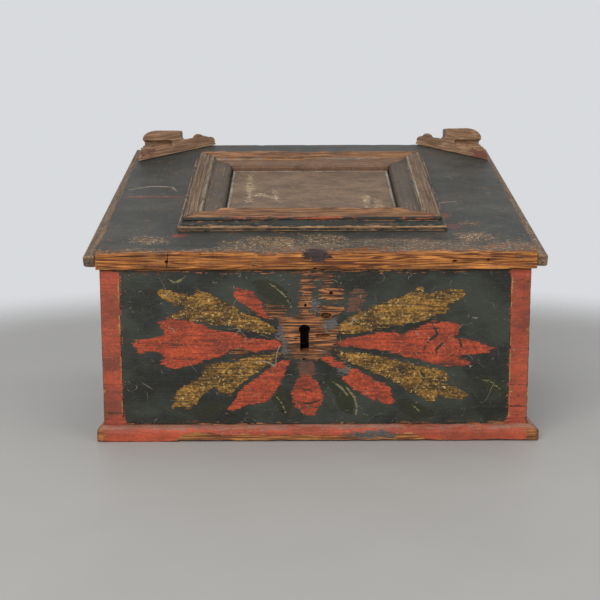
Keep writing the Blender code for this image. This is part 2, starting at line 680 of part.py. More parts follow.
def build_hinge(side_name, x, lid, back_board):
    """A strap hinge: the strap under the lid, the leaf on the outside of the back, and their pin."""
    shoulder, gap = KNUCKLE_R + FIT, KNUCKLE_W / 2 + FIT
    bore = rod_on_x(PIN_R + FIT, -HINGE_W, HINGE_W)
    face = KNUCKLE_R - KNUCKLE_LAP
    neck_x = KNUCKLE_W / 2 - KNUCKLE_LAP
    outline = hinge_outline(STRAP_L, STRAP_TIP_R, [(neck_x, -shoulder), (neck_x, 0)])
    strap = slab([outline], face - HINGE_T, face, DEPTH_ON_Z)
    strap = piece(f"hinge_strap_{side_name}", strap, IRON, LID_FRAME, (x, 0, 0))
    join(strap, tool(rod_on_x(KNUCKLE_R, -KNUCKLE_W / 2, KNUCKLE_W / 2), LID_FRAME, (x, 0, 0)))
    cut(strap, tool(bore, LID_FRAME, (x, 0, 0)))
    axis = (x, AXIS_Y, AXIS_Z)
    neck_in, neck_out = gap + KNUCKLE_LAP, HINGE_W / 2 - KNUCKLE_LAP
    neck = [(neck_out, -shoulder), (neck_out, 0), (neck_in, 0), (neck_in, -shoulder)]
    outline = hinge_outline(LEAF_L, LEAF_TIP_R, neck)
    leaf = slab([outline], face, face - HINGE_T, DEPTH_ON_Y)
    leaf = piece(f"hinge_leaf_{side_name}", leaf, IRON, place=axis)
    for start, end in ((-HINGE_W / 2, -gap), (gap, HINGE_W / 2)):
        join(leaf, tool(rod_on_x(KNUCKLE_R, start, end), place=axis))
    cut(leaf, tool(bore, place=axis))
    end = HINGE_W / 2 + FIT
    tip = end + PIN_HEAD_H
    profile = [(0, tip), (PIN_TIP_R, tip), (PIN_HEAD_R, end + PIN_HEAD_H / 2)]
    profile += [(PIN_HEAD_R, end), (PIN_R, end)]
    profile += [(radius, -height) for radius, height in profile[::-1]]
    pin = turned(profile)
    pin.transform(Matrix.Rotation(pi / 2, 4, "Y"))
    piece(f"hinge_pin_{side_name}", pin, IRON, place=axis)
    wide = HINGE_W / 2 + FIT
    strap_seat = face - HINGE_T - FIT
    groove = block((-wide, -BACK_T - shoulder - PAST, strap_seat), (wide, 0, LID_TOP))
    cut(back_board, tool(groove, LID_FRAME, (x, 0, 0)))
    for i, v in enumerate((-BACK_T - NAIL_FROM_END, NAIL_FROM_END - STRAP_L), 1):
        nail(f"strap_nail_{side_name}_{i}", LID_FRAME, (x, v, strap_seat), POINT_UP, (strap, lid))
    leaf_seat = AXIS_Y - face + HINGE_T + FIT
    for i, drop in enumerate((NAIL_FROM_END, LEAF_L - NAIL_FROM_END), 1):
        seat = (x, leaf_seat, AXIS_Z - drop)
        nail(f"leaf_nail_{side_name}_{i}", CASE_FRAME, seat, POINT_FORWARD, (leaf, back_board))


def keyhole():
    """A keyhole seen from the front, about the key's axis: a round with a slot below it for the bit."""
    reach = KEY_SLOT_W / 2
    drop = (KEY_R**2 - reach**2) ** 0.5
    turn = atan2(-drop, reach) * 180 / pi
    return [(-reach, -KEY_BIT_R), (reach, -KEY_BIT_R)] + arc((0, 0), KEY_R, turn, 180 - turn, 14)


def build_lock_plate(front_board):
    """The lock's back plate, on the inside of the front, and the keyhole through both."""
    low = (CASE_LEFT - CASE_T - CASE_FLANGE, PLATE_Y, CASE_LOW_Z - CASE_T - PLATE_BELOW)
    high = (CASE_RIGHT + CASE_T + CASE_FLANGE, PLATE_Y + PLATE_T, CASE_TOP_Z + CASE_T)
    plate = piece("lock_plate", block(low, high), IRON)
    hole = tool(slab([keyhole()], PAST, -FRONT_T - PLATE_T - PAST, DEPTH_ON_Y), place=(KEY_X, FRONT_Y, KEY_Z))
    cut(front_board, hole)
    cut(plate, hole)
    return plate


def build_lock_case(plate, front_board):
    """The lock's cover: a flanged shell, open to the plate, with a slot for the staple's tongue."""
    outer = block(
        (CASE_LEFT - CASE_T, CASE_Y, CASE_LOW_Z - CASE_T),
        (CASE_RIGHT + CASE_T, CASE_BACK_Y + CASE_T, CASE_TOP_Z + CASE_T),
    )
    case = piece("lock_case", outer, IRON)
    nails = []
    for edge, side in ((CASE_LEFT, -1), (CASE_RIGHT, 1)):
        ends = sorted((edge + side * CASE_T / 2, edge + side * (CASE_T + CASE_FLANGE)))
        flange = block((ends[0], CASE_Y, CASE_LOW_Z), (ends[1], CASE_Y + CASE_T, CASE_TOP_Z))
        join(case, tool(flange))
        across = edge + side * (CASE_T + CASE_FLANGE / 2)
        nails += [(across, CASE_LOW_Z + NAIL_FROM_EDGE), (across, CASE_TOP_Z - NAIL_FROM_EDGE)]
    inside = block((CASE_LEFT, CASE_Y - PAST, CASE_LOW_Z), (CASE_RIGHT, CASE_BACK_Y, CASE_TOP_Z))
    cut(case, tool(inside))
    half = TONGUE_T / 2 + RUN
    mouth = block((KEY_X - half, CASE_Y - PAST, BOLT_Z), (KEY_X + half, CASE_BACK_Y, CASE_TOP_Z + PAST))
    cut(case, tool(mouth))
    rest = [(0, PAST), (KEY_REST_R, PAST), (KEY_REST_R, -PAST), (0, -PAST)]
    cut(case, tool(turned(rest), place=(KEY_X, CASE_BACK_Y, KEY_Z), turn=POINT_BACK))
    for i, (x, z) in enumerate(nails, 1):
        seat = (x, CASE_Y + CASE_T + FIT, z)
        nail(f"lock_nail_{i}", CASE_FRAME, seat, POINT_FORWARD, (case, plate, front_board))


def build_lock_works():
    """The bolt, with its talon for the key, on two studs, and the spring that steadies it."""
    top, low = TAIL_TOP_Z - BOLT_Z, TAIL_LOW_Z - BOLT_Z
    half, talon, head = BOLT_H / 2, BOLT_TALON_W / 2, -TONGUE_T / 2 - RUN
    post = BOLT_POST_W - BOLT_BACK
    outline = [
        (-BOLT_BACK, low),
        (-talon, low),
        (-talon, low + BOLT_TALON_D),
        (talon, low + BOLT_TALON_D),
        (talon, low),
        (BOLT_TAIL_L, low),
        (BOLT_TAIL_L, top),
        (post, top),
        (post, -half),
        (head, -half),
        (head, half),
        (-BOLT_BACK, half),
    ]
    stud_z = low + STUD_ABOVE_TAIL
    slot_r = STUD_R + FIT
    studs = (("bolt_stud_left", -STUD_LEFT), ("bolt_stud_right", STUD_RIGHT))
    slots = [
        arc((x, stud_z), slot_r, -90, 90) + arc((x - BOLT_TRAVEL, stud_z), slot_r, 90, 270) for _, x in studs
    ]
    bolt = slab([outline] + slots, -BOLT_T / 2, BOLT_T / 2, DEPTH_ON_Y)
    piece("lock_bolt", bolt, STEEL, place=(KEY_X, BOLT_Y, BOLT_Z))
    seat = PLATE_Y + PLATE_T + FIT
    collar = BOLT_Y - BOLT_T / 2 - FIT - seat
    neck = collar + BOLT_T + 2 * FIT
    tip = neck + STUD_HEAD_H
    profile = [(0, tip), (STUD_COLLAR_R, tip), (STUD_COLLAR_R, neck), (STUD_R, neck), (STUD_R, collar)]
    profile += [(STUD_COLLAR_R, collar), (STUD_COLLAR_R, 0), (0, 0)]
    for name, x in studs:
        piece(name, turned(profile), STEEL, place=(KEY_X + x, seat, BOLT_Z + stud_z), turn=POINT_BACK)
    build_spring(low)


def build_spring(tail_low):
    """A bent leaf on a riveted foot, its tip under the bolt's tail."""
    foot_x = SPRING_FOOT / 2 - BOLT_BACK
    foot_z = tail_low - SPRING_DROP
    start = Vector((foot_x, foot_z))
    tip = Vector((foot_x + SPRING_REACH, tail_low - FIT - SPRING_T / 2))
    bend = Vector((foot_x, tip.y - SPRING_T))
    near_side, far_side = [], []
    for i in range(SPRING_STEPS + 1):
        t = i / SPRING_STEPS
        point = start * (1 - t) ** 2 + bend * 2 * t * (1 - t) + tip * t * t
        slope = (bend - start) * (1 - t) + (tip - bend) * t
        aside = slope.orthogonal().normalized() * SPRING_T / 2
        near_side.append(tuple(point + aside))
        far_side.append(tuple(point - aside))
    outline = near_side + far_side[::-1]
    place = (KEY_X, BOLT_Y, BOLT_Z)
    leaf = slab([outline], -SPRING_W / 2, SPRING_W / 2, DEPTH_ON_Y)
    spring = piece("lock_spring", leaf, STEEL, place=place)
    half = SPRING_FOOT / 2
    near = PLATE_Y + PLATE_T + FIT - BOLT_Y
    foot = block((foot_x - half, near, foot_z - half), (foot_x + half, SPRING_W / 2 + FIT, foot_z + half))
    join(spring, tool(foot, place=place))


def build_staple(lid):
    """The staple under the lid: a nailed plate with a tongue, whose eye takes the bolt."""
    high = LID_UNDER - FIT
    low = high - STAPLE_T
    place = (KEY_X, TONGUE_V, 0)
    plate = block((-STAPLE_W / 2, -STAPLE_D / 2, low), (STAPLE_W / 2, STAPLE_D / 2, high))
    staple = piece("lid_staple", plate, IRON, LID_FRAME, place)
    end, half = LID_UNDER - TONGUE_L, TONGUE_W / 2
    corner = TONGUE_CORNER_R
    outline = [(half, low + STAPLE_T / 2), (-half, low + STAPLE_T / 2)]
    outline += arc((corner - half, end + corner), corner, 180, 270, 5)
    outline += arc((half - corner, end + corner), corner, 270, 360, 5)
    eye_z, eye_h, eye_w = LID_UNDER - TONGUE_EYE_DROP, TONGUE_EYE_H / 2, TONGUE_EYE_W / 2
    eye = [(-eye_w, eye_z - eye_h), (eye_w, eye_z - eye_h), (eye_w, eye_z + eye_h), (-eye_w, eye_z + eye_h)]
    tongue = slab([outline, eye], -TONGUE_T / 2, TONGUE_T / 2, DEPTH_ON_X)
    join(staple, tool(tongue, LID_FRAME, place))
    for i, side in enumerate((-1, 1), 1):
        seat = (KEY_X + side * (STAPLE_W / 2 - NAIL_FROM_EDGE), TONGUE_V, low - FIT)
        nail(f"staple_nail_{i}", LID_FRAME, seat, POINT_UP, (staple, lid))


def build():
    """Every piece of the box, at rest: lid shut, bolt drawn back."""
    front_board, back_board = build_case()
    lid = build_lid_board()
    build_frame()
    build_brackets()
    build_hinge("left", -HINGE_X, lid, back_board)
    build_hinge("right", HINGE_X, lid, back_board)
    plate = build_lock_plate(front_board)
    build_lock_case(plate, front_board)
    build_lock_works()
    build_staple(lid)


build()
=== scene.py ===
"""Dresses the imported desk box: worn folk paint on pine, forged iron, a plain studio and the camera.

World frame: metres, +Z up, -Y out of the front. The lid's pieces are made in the lid's own frame, with
its origin on the hinge axis, its second axis up the slope and its third out of the lid's top.
"""

import json
import logging
from collections.abc import Sequence
from dataclasses import dataclass
from enum import Enum
from itertools import product
from math import ceil, copysign, cos, pi, radians, sin, tan
from typing import ClassVar

import bmesh
import bpy
import numpy as np
from mathutils import Matrix, Vector


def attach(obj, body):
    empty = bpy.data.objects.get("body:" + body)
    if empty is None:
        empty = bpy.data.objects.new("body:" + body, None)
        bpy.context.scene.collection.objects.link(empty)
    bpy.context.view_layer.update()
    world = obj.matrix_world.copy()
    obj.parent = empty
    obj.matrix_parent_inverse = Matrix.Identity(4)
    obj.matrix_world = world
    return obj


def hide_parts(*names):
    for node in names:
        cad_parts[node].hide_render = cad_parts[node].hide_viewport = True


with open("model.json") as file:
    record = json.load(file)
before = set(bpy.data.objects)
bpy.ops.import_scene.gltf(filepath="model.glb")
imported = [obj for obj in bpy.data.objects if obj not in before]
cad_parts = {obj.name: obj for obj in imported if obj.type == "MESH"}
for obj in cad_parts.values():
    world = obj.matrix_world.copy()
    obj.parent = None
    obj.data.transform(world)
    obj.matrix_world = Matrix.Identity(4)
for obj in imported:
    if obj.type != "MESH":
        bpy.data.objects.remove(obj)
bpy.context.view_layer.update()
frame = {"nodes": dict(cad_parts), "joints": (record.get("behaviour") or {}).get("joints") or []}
LOG = logging.getLogger("desk_box")

Array = np.ndarray
Colour = tuple[int, int, int]
Object = bpy.types.Object
Socket = bpy.types.NodeSocket
Feed = Socket | float | tuple[float, ...]

MM = 0.001
LID_SLOPE = radians(17.3)
LID_AXIS = next(Vector(joint["pos_m"]) for joint in frame["joints"] if joint["name"] == "lid_hinge")
LID_PLACE = Matrix.Translation(LID_AXIS) @ Matrix.Rotation(LID_SLOPE, 4, "X")
WORLD_PLACE = Matrix.Identity(4)
KEY_X = -0.010
KEY_Z = 0.1021
HALF_W = 0.195
FRONT_Y = -0.1506
BACK_Y = 0.1514
EDGE_LINES = (0.0, 0.0004, 0.0008, 0.0013, 0.0020, 0.0030)
TINY = 1e-9
WELD = 0.001 * MM
SKIN = 0.05 * MM
JOINT = 0.3 * MM
SHARP = radians(55)

# Distances inside a painted area, in millimetres
FAR_OUTSIDE = -50.0
WELL_INSIDE = 6.0
LAYER_REACH = 9


def linear(colour: Colour) -> tuple[float, ...]:
    """A display colour as the linear one, with no transparency, that a shader takes."""
    shares = (channel / 255 for channel in colour)
    return *(s / 12.92 if s <= 0.04045 else ((s + 0.055) / 1.055) ** 2.4 for s in shares), 1


class Noise:
    """Smooth value noise on a wrapped lattice, the same on every run."""

    SIZE = 64
    SHIFT = 0.37
    EVENING = 1.5

    def __init__(self, seed: int) -> None:
        """Fill the lattice from a seed."""
        self.table = np.random.default_rng(seed).random((self.SIZE,) * 3)

    def at(self, points: Array, scale: Sequence[float] | float) -> Array:
        """Noise at some points.

        Args:
            points: one row of three coordinates for each point, in metres.
            scale: lattice cells in a metre, for all axes or for each.

        Returns:
            One value from -1 to 1 for each point.
        """
        spot = points * np.asarray(scale, float)
        base = np.floor(spot).astype(int)
        share = spot - base
        share = share * share * (3 - 2 * share)
        total = np.zeros(len(points))
        for corner in product((0, 1), repeat=3):
            weight = np.prod(np.where(corner, share, 1 - share), axis=1)
            across, along, up = ((base + corner) % self.SIZE).T
            total += weight * self.table[across, along, up]
        return 2 * total - 1

    def layered(self, points: Array, scale: Sequence[float] | float, octaves: int = 3) -> Array:
        """Noise with finer and weaker copies of itself added.

        Args:
            points: one row of three coordinates for each point, in metres.
            scale: lattice cells in a metre of the broadest layer.
            octaves: the number of layers.

        Returns:
            One value, mostly from -1 to 1, for each point.
        """
        first = np.asarray(scale, float)
        layers = (self.at(points + self.SHIFT * i, first * 2**i) / 2**i for i in range(octaves))
        return sum(layers) / self.EVENING


DENTS = Noise(11)
CHIPS = Noise(23)
FIBRES = Noise(37)


def between(value: Array, low: float, high: float) -> Array:
    """A smooth rise from 0 at low to 1 at high."""
    share = np.clip((value - low) / (high - low), 0, 1)
    return share * share * (3 - 2 * share)


def moved(points: Array, place: Matrix) -> Array:
    """Points taken through a transform."""
    matrix = np.array(place)
    return points @ matrix[:3, :3].T + matrix[:3, 3]


def gathered(items: bpy.types.bpy_prop_collection, name: str) -> Array:
    """The vectors that a mesh's items hold under a name, one row for each.

    Args:
        items: the mesh's points or normals.
        name: what the vectors are called.

    Returns:
        The vectors.
    """
    values = np.empty(len(items) * 3)
    items.foreach_get(name, values)
    return values.reshape(-1, 3)


def extents(node: str, place: Matrix = WORLD_PLACE) -> tuple[Array, Array]:
    """A CAD node's lowest and highest corners, in a frame of their own."""
    points = moved(gathered(frame["nodes"][node].data.vertices, "co"), place.inverted())
    return points.min(axis=0), points.max(axis=0)


def ruled(low: float, high: float, cell: float) -> Array:
    """Grid lines from low to high, closer together near both ends.

    Args:
        low: first line.
        high: last line.
        cell: spacing of the lines away from the ends.

    Returns:
        The lines' places, in order.
    """
    near = np.array([line for line in EDGE_LINES if line < (high - low) / 3])
    start, end = low + near[-1], high - near[-1]
    middle = np.linspace(start, end, max(2, ceil((end - start) / cell) + 1))
    return np.concatenate([low + near[:-1], middle, (high - near[:-1])[::-1]])


def grid_box(lines: Sequence[Array]) -> tuple[Array, Array]:
    """The surface of a box as a grid of quads.

    Args:
        lines: the grid lines' places along each of the three axes.

    Returns:
        The points, and the four point numbers of each quad.
    """
    counts = tuple(len(line) for line in lines)
    sides = []
    for axis in range(3):
        first, second = (axis + 1) % 3, (axis + 2) % 3
        for end in (0, counts[axis] - 1):
            place = np.zeros((counts[first], counts[second], 3), int)
            place[..., axis] = end
            place[..., first] = np.arange(counts[first])[:, None]
            place[..., second] = np.arange(counts[second])[None, :]
            number = np.ravel_multi_index(tuple(place[..., k] for k in range(3)), counts)
            quads = np.stack([number[:-1, :-1], number[1:, :-1], number[1:, 1:], number[:-1, 1:]], axis=-1)
            quads = quads.reshape(-1, 4)
            sides.append(quads if end else quads[:, ::-1])
    used, numbers = np.unique(np.concatenate(sides), return_inverse=True)
    index = np.unravel_index(used, counts)
    points = np.stack([lines[k][index[k]] for k in range(3)], axis=1)
    return points, numbers.reshape(-1, 4)


def rounded(points: Array, low: Array, high: Array, radius: Array) -> Array:
    """Points of a box's surface, with its edges rounded.

    Args:
        points: points on the box.
        low: the box's lowest corner.
        high: the box's highest corner.
        radius: each point's own radius.

    Returns:
        The moved points.
    """
    reach = radius[:, None]
    core = np.clip(points, low + reach, high - reach)
    out = points - core
    return core + out / np.linalg.norm(out, axis=1, keepdims=True) * reach


def resampled(outline: Array, cell: float) -> Array:
    """A closed outline with its sides cut into short lengths.

    Args:
        outline: its points.
        cell: the longest length.

    Returns:
        The outline with more points.
    """
    pieces = []
    for start, end in zip(outline, np.roll(outline, -1, axis=0)):
        count = max(1, ceil(np.linalg.norm(end - start) / cell))
        shares = np.arange(count)[:, None] / count
        pieces.append(start + shares * (end - start))
    return np.concatenate(pieces)


def smoothed(outline: Array, rounds: int) -> Array:
    """A closed outline with each point drawn towards its neighbours.

    Args:
        outline: its points.
        rounds: how often that is done.

    Returns:
        As many points, moved.
    """
    for _ in range(rounds):
        outline = 0.5 * outline + 0.25 * (np.roll(outline, 1, axis=0) + np.roll(outline, -1, axis=0))
    return outline


def softened(outline: Array, rounds: int) -> Array:
    """A closed outline with its corners cut off, again and again.

    Args:
        outline: its points.
        rounds: how often that is done.

    Returns:
        Twice as many points for each round.
    """
    for _ in range(rounds):
        ahead = np.roll(outline, -1, axis=0)
        outline = np.stack([0.75 * outline + 0.25 * ahead, 0.25 * outline + 0.75 * ahead], axis=1)
        outline = outline.reshape(-1, 2)
    return outline


def arc(centre: tuple[float, float], radius: float, start: float, end: float, steps: int = 8) -> list:
    """Points on an arc, with its angles in degrees."""
    angles = np.radians(np.linspace(start, end, steps + 1))
    return [(centre[0] + radius * cos(a), centre[1] + radius * sin(a)) for a in angles]


def tube(rings: int, sides: int) -> list[list[int]]:
    """The faces of a closed tube: its two ends and the quads between its rings.

    Args:
        rings: the number of rings of points.
        sides: the number of points in a ring.

    Returns:
        Each face's point numbers.
    """
    number = np.arange(rings * sides).reshape(rings, sides)
    ahead = np.roll(number, -1, axis=1)
    quads = np.stack([number[:-1], number[1:], ahead[1:], ahead[:-1]], axis=-1).reshape(-1, 4)
    return [number[0].tolist(), number[-1, ::-1].tolist(), *quads.tolist()]


def swept(profile: Array, length: float, cell: float, mitres: tuple[bool, bool]) -> tuple[Array, list]:
    """A moulding along its first axis, with plain or mitred ends.

    Args:
        profile: closed outline of depth from the outer edge and height, up the outside and down the inside.
        length: length along the outer edge.
        cell: spacing of the stations along it.
        mitres: whether the first and the last end are mitred.

    Returns:
        The points, station by station, and the faces.
    """
    depth, height = profile.T
    start = -length / 2 + (depth + JOINT) * mitres[0]
    end = length / 2 - (depth + JOINT) * mitres[1]
    shares = np.linspace(0, 1, ceil(length / cell) + 1)[:, None]
    points = np.stack(np.broadcast_arrays(start + shares * (end - start), depth, height), axis=-1)
    return points.reshape(-1, 3), tube(len(shares), len(profile))


def new_object(name: str, points: Array, faces: Sequence, place: Matrix = WORLD_PLACE) -> Object:
    """A mesh object in the scene.

    Args:
        name: the object's name.
        points: its points, in its own frame.
        faces: point numbers of each face.
        place: where its frame stands.

    Returns:
        The object.
    """
    mesh = bpy.data.meshes.new(name)
    mesh.from_pydata(points.tolist(), [], faces if isinstance(faces, list) else faces.tolist())
    made = bpy.data.objects.new(name, mesh)
    made.matrix_world = place
    bpy.context.scene.collection.objects.link(made)
    return made


def points_of(made: Object) -> Array:
    """An object's points."""
    return gathered(made.data.vertices, "co")


def normals_of(made: Object) -> Array:
    """An object's normals at its points."""
    return gathered(made.data.vertex_normals, "vector")


def set_points(made: Object, points: Array) -> None:
    """Put an object's points somewhere else."""
    made.data.vertices.foreach_set("co", points.ravel())
    made.data.update()


def store(made: Object, name: str, values: Array) -> None:
    """Keep one number or one place for each point, for the shaders.

    Args:
        made: the object.
        name: what the shaders call it.
        values: a number or a row of three for each point.
    """
    kind, field = ("FLOAT", "value") if values.ndim == 1 else ("FLOAT_VECTOR", "vector")
    held = made.data.attributes.new(name, kind, "POINT")
    held.data.foreach_set(field, values.astype(np.float32).ravel())


def applied(made: Object) -> None:
    """Take an object's modifiers into its mesh.

    Args:
        made: the object.
    """
    graph = bpy.context.evaluated_depsgraph_get()
    mesh = bpy.data.meshes.new_from_object(made.evaluated_get(graph))
    old = made.data
    made.modifiers.clear()
    made.data = mesh
    bpy.data.meshes.remove(old)
    mesh.name = made.name


def node_copy(node: str) -> Object:
    """A loose copy of a CAD node, with its points welded.

    Args:
        node: the node's name.

    Returns:
        The copy.
    """
    mesh = frame["nodes"][node].data.copy()
    mesh.materials.clear()
    shape = bmesh.new()
    shape.from_mesh(mesh)
    bmesh.ops.remove_doubles(shape, verts=shape.verts, dist=WELD)
    shape.to_mesh(mesh)
    shape.free()
    for name in [layer.name for layer in mesh.attributes if layer.name.startswith(("sharp", "custom"))]:
        mesh.attributes.remove(mesh.attributes[name])
    made = bpy.data.objects.new(f"{node}_copy", mesh)
    bpy.context.scene.collection.objects.link(made)
    return made


def carve(made: Object, other: Object, operation: str) -> None:
    """Cut one object with another, which is then removed.

    Args:
        made: the object that stays.
        other: the closed shape that it is cut with.
        operation: DIFFERENCE or INTERSECT.
    """
    step = made.modifiers.new("carve", "BOOLEAN")
    step.operation = operation
    step.object = other
    step.solver = "MANIFOLD"
    applied(made)
    bpy.data.objects.remove(other, do_unlink=True)


def store_bends(made: Object, gain: float, rounds: int = 3) -> None:
    """Keep how proud and how hollow each point is, from how the mesh bends there.

    Args:
        made: the object.
        gain: how strongly a bend counts, below 0 with proud and hollow changed over.
        rounds: how often the values are spread to the neighbours.
    """
    mesh = made.data
    edges = np.empty(len(mesh.edges) * 2, int)
    mesh.edges.foreach_get("vertices", edges)
    edges = edges.reshape(-1, 2)
    here, there = np.concatenate([edges, edges[:, ::-1]]).T
    points, normals = points_of(made), normals_of(made)
    count = np.bincount(here, minlength=len(points))
    step = points[here] - points[there]
    lean = (normals[here] * step).sum(axis=1) / np.maximum(np.linalg.norm(step, axis=1), TINY)
    bend = np.bincount(here, lean, len(points)) / count
    for _ in range(rounds):
        bend = 0.4 * bend + 0.6 * np.bincount(here, bend[there], len(points)) / count
    store(made, "edge", np.clip(bend * gain, 0, 1))
    store(made, "hollow", np.clip(-bend * gain, 0, 1))


def nearness(points: Array, low: Array, high: Array, reach: float) -> Array:
    """How near each point of a board lies to an arris.

    Args:
        points: the points, as those of a plain box.
        low: the box's lowest corner.
        high: the box's highest corner.
        reach: distance over which an arris wears.

    Returns:
        One value for each point, from 1 on an arris down to 0.
    """
    gaps = np.sort(np.minimum(np.abs(points - low), np.abs(high - points)), axis=1)
    return np.exp(-gaps[:, 1] / reach)


def hand_over(
    made: Object,
    body: str,
    nodes: Sequence[str],
    finish: "Finish",
    layers: dict[str, Array],
    seen: Array | None = None,
) -> Object:
    """Finish a piece: its material, what it stands for and what it rides on.

    Args:
        made: the piece.
        body: the body that it moves with.
        nodes: the CAD nodes that it replaces.
        finish: its finish.
        layers: how far inside each painted area each point lies, in millimetres.
        seen: where the shaders take each point to be, if not where it lies in the piece's own frame.

    Returns:
        The piece.
    """
    store(made, "place", points_of(made) if seen is None else seen)
    made.data.transform(made.matrix_world)
    made.matrix_world = WORLD_PLACE
    for coat in finish.coats:
        values = layers.get(coat.area, np.full(len(made.data.vertices), FAR_OUTSIDE))
        store(made, coat.area, np.clip(values, FAR_OUTSIDE, -FAR_OUTSIDE))
    made.data.materials.clear()
    made.data.materials.append(finish.material())
    made.data.shade_smooth()
    made.data.set_sharp_from_angle(angle=SHARP)
    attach(made, body)
    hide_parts(*nodes)
    LOG.info("%s rides on %s, %d faces", made.name, body, len(made.data.polygons))
    return made


class Effect(Enum):
    """Shader effects that several finishes share."""

    GRAIN = "grain"
    WEAR = "wear"
    RAGGED = "ragged"
    BRUSHED = "brushed"
    CRACKLE = "crackle"
    SCRATCHES = "scratches"
    GRIME = "grime"


class Graph:
    """A node tree, with short calls for the nodes that the finishes use."""

    def __init__(self, tree: bpy.types.NodeTree) -> None:
        """Work on a node tree."""
        self.tree = tree

    def node(self, kind: str, **settings: object) -> bpy.types.Node:
        """A new node with some of its settings.

        Args:
            kind: the node's type.
            settings: its settings by name.

        Returns:
            The node.
        """
        made = self.tree.nodes.new(kind)
        for name, value in settings.items():
            setattr(made, name, value)
        return made

    def feed(self, socket: Socket, value: Feed) -> None:
        """Link another socket into this one, or set its constant.

        Args:
            socket: the input.
            value: another socket or a constant.
        """
        if isinstance(value, bpy.types.NodeSocket):
            self.tree.links.new(value, socket)
        elif socket.type == "RGBA":
            socket.default_value = linear(value)
        else:
            socket.default_value = value

    def wired(
        self, kind: str, feeds: dict[str | int, Feed], output: str | int = 0, **settings: object
    ) -> Socket:
        """A new node with its inputs fed by name or number.

        Args:
            kind: the node's type.
            feeds: what goes into its inputs.
            output: the name or number of the output that is wanted.
            settings: the node's other settings.

        Returns:
            That output.
        """
        made = self.node(kind, **settings)
        for name, value in feeds.items():
            self.feed(made.inputs[name], value)
        return made.outputs[output]

    def math(self, operation: str, first: Feed, second: Feed = 0.0, clamp: bool = False) -> Socket:
        """A sum, product or other calculation on one or two values."""
        return self.wired("ShaderNodeMath", {0: first, 1: second}, operation=operation, use_clamp=clamp)

    def scaled(self, vector: Feed, scale: Feed) -> Socket:
        """A vector times another, axis by axis."""
        return self.wired("ShaderNodeVectorMath", {0: vector, 1: scale}, operation="MULTIPLY")

    def shifted(self, vector: Feed, offset: Feed) -> Socket:
        """A vector plus another."""
        return self.wired("ShaderNodeVectorMath", {0: vector, 1: offset}, operation="ADD")

    def noise(
        self, vector: Feed, scale: float, detail: float = 4, roughness: float = 0.55, distortion: float = 0
    ) -> Socket:
        """Cloudy noise from 0 to 1."""
        feeds = {"Vector": vector, "Scale": scale, "Detail": detail, "Roughness": roughness}
        return self.wired("ShaderNodeTexNoise", {**feeds, "Distortion": distortion}, "Fac")

    def step(self, value: Feed, low: Feed, high: Feed) -> Socket:
        """A smooth rise from 0 at low to 1 at high."""
        feeds = {"Value": value, "From Min": low, "From Max": high}
        return self.wired("ShaderNodeMapRange", feeds, interpolation_type="SMOOTHSTEP")

    def blend(self, factor: Feed, first: Feed, second: Feed) -> Socket:
        """A blend of two colours."""
        return self.wired("ShaderNodeMix", {0: factor, 6: first, 7: second}, 2, data_type="RGBA")

    def lerp(self, factor: Feed, first: Feed, second: Feed) -> Socket:
        """A value between two others."""
        return self.wired("ShaderNodeMix", {0: factor, 2: first, 3: second}, data_type="FLOAT")

    def bumped(self, height: Feed, strength: float, depth: float) -> Socket:
        """The normal of a surface with a height of its own."""
        feeds = {"Strength": strength, "Distance": depth, "Height": height}
        return self.wired("ShaderNodeBump", feeds, "Normal")

    def ramp(self, value: Feed, stops: Sequence[tuple[float, Colour]]) -> Socket:
        """A colour for each value, from colours at some stops.

        Args:
            value: the value.
            stops: values and their colours, in order.

        Returns:
            The colour.
        """
        made = self.node("ShaderNodeValToRGB")
        elements = made.color_ramp.elements
        while len(elements) < len(stops):
            elements.new(0.5)
        for element, (place, colour) in zip(elements, stops):
            element.position = place
            element.color = linear(colour)
        self.feed(made.inputs[0], value)
        return made.outputs[0]

    def attribute(self, name: str, output: str = "Fac") -> Socket:
        """A number, or with output Vector a place, that the mesh keeps for each point."""
        return self.node("ShaderNodeAttribute", attribute_name=name).outputs[output]

    def effect(self, effect: Effect, **feeds: Feed) -> dict[str, Socket]:
        """One of the shared effects, with its inputs set.

        Args:
            effect: which effect.
            feeds: its inputs by name.

        Returns:
            Its outputs by name.
        """
        made = self.node("ShaderNodeGroup", node_tree=EFFECTS.get(effect))
        for name, value in feeds.items():
            self.feed(made.inputs[name], value)
        return {socket.name: socket for socket in made.outputs}


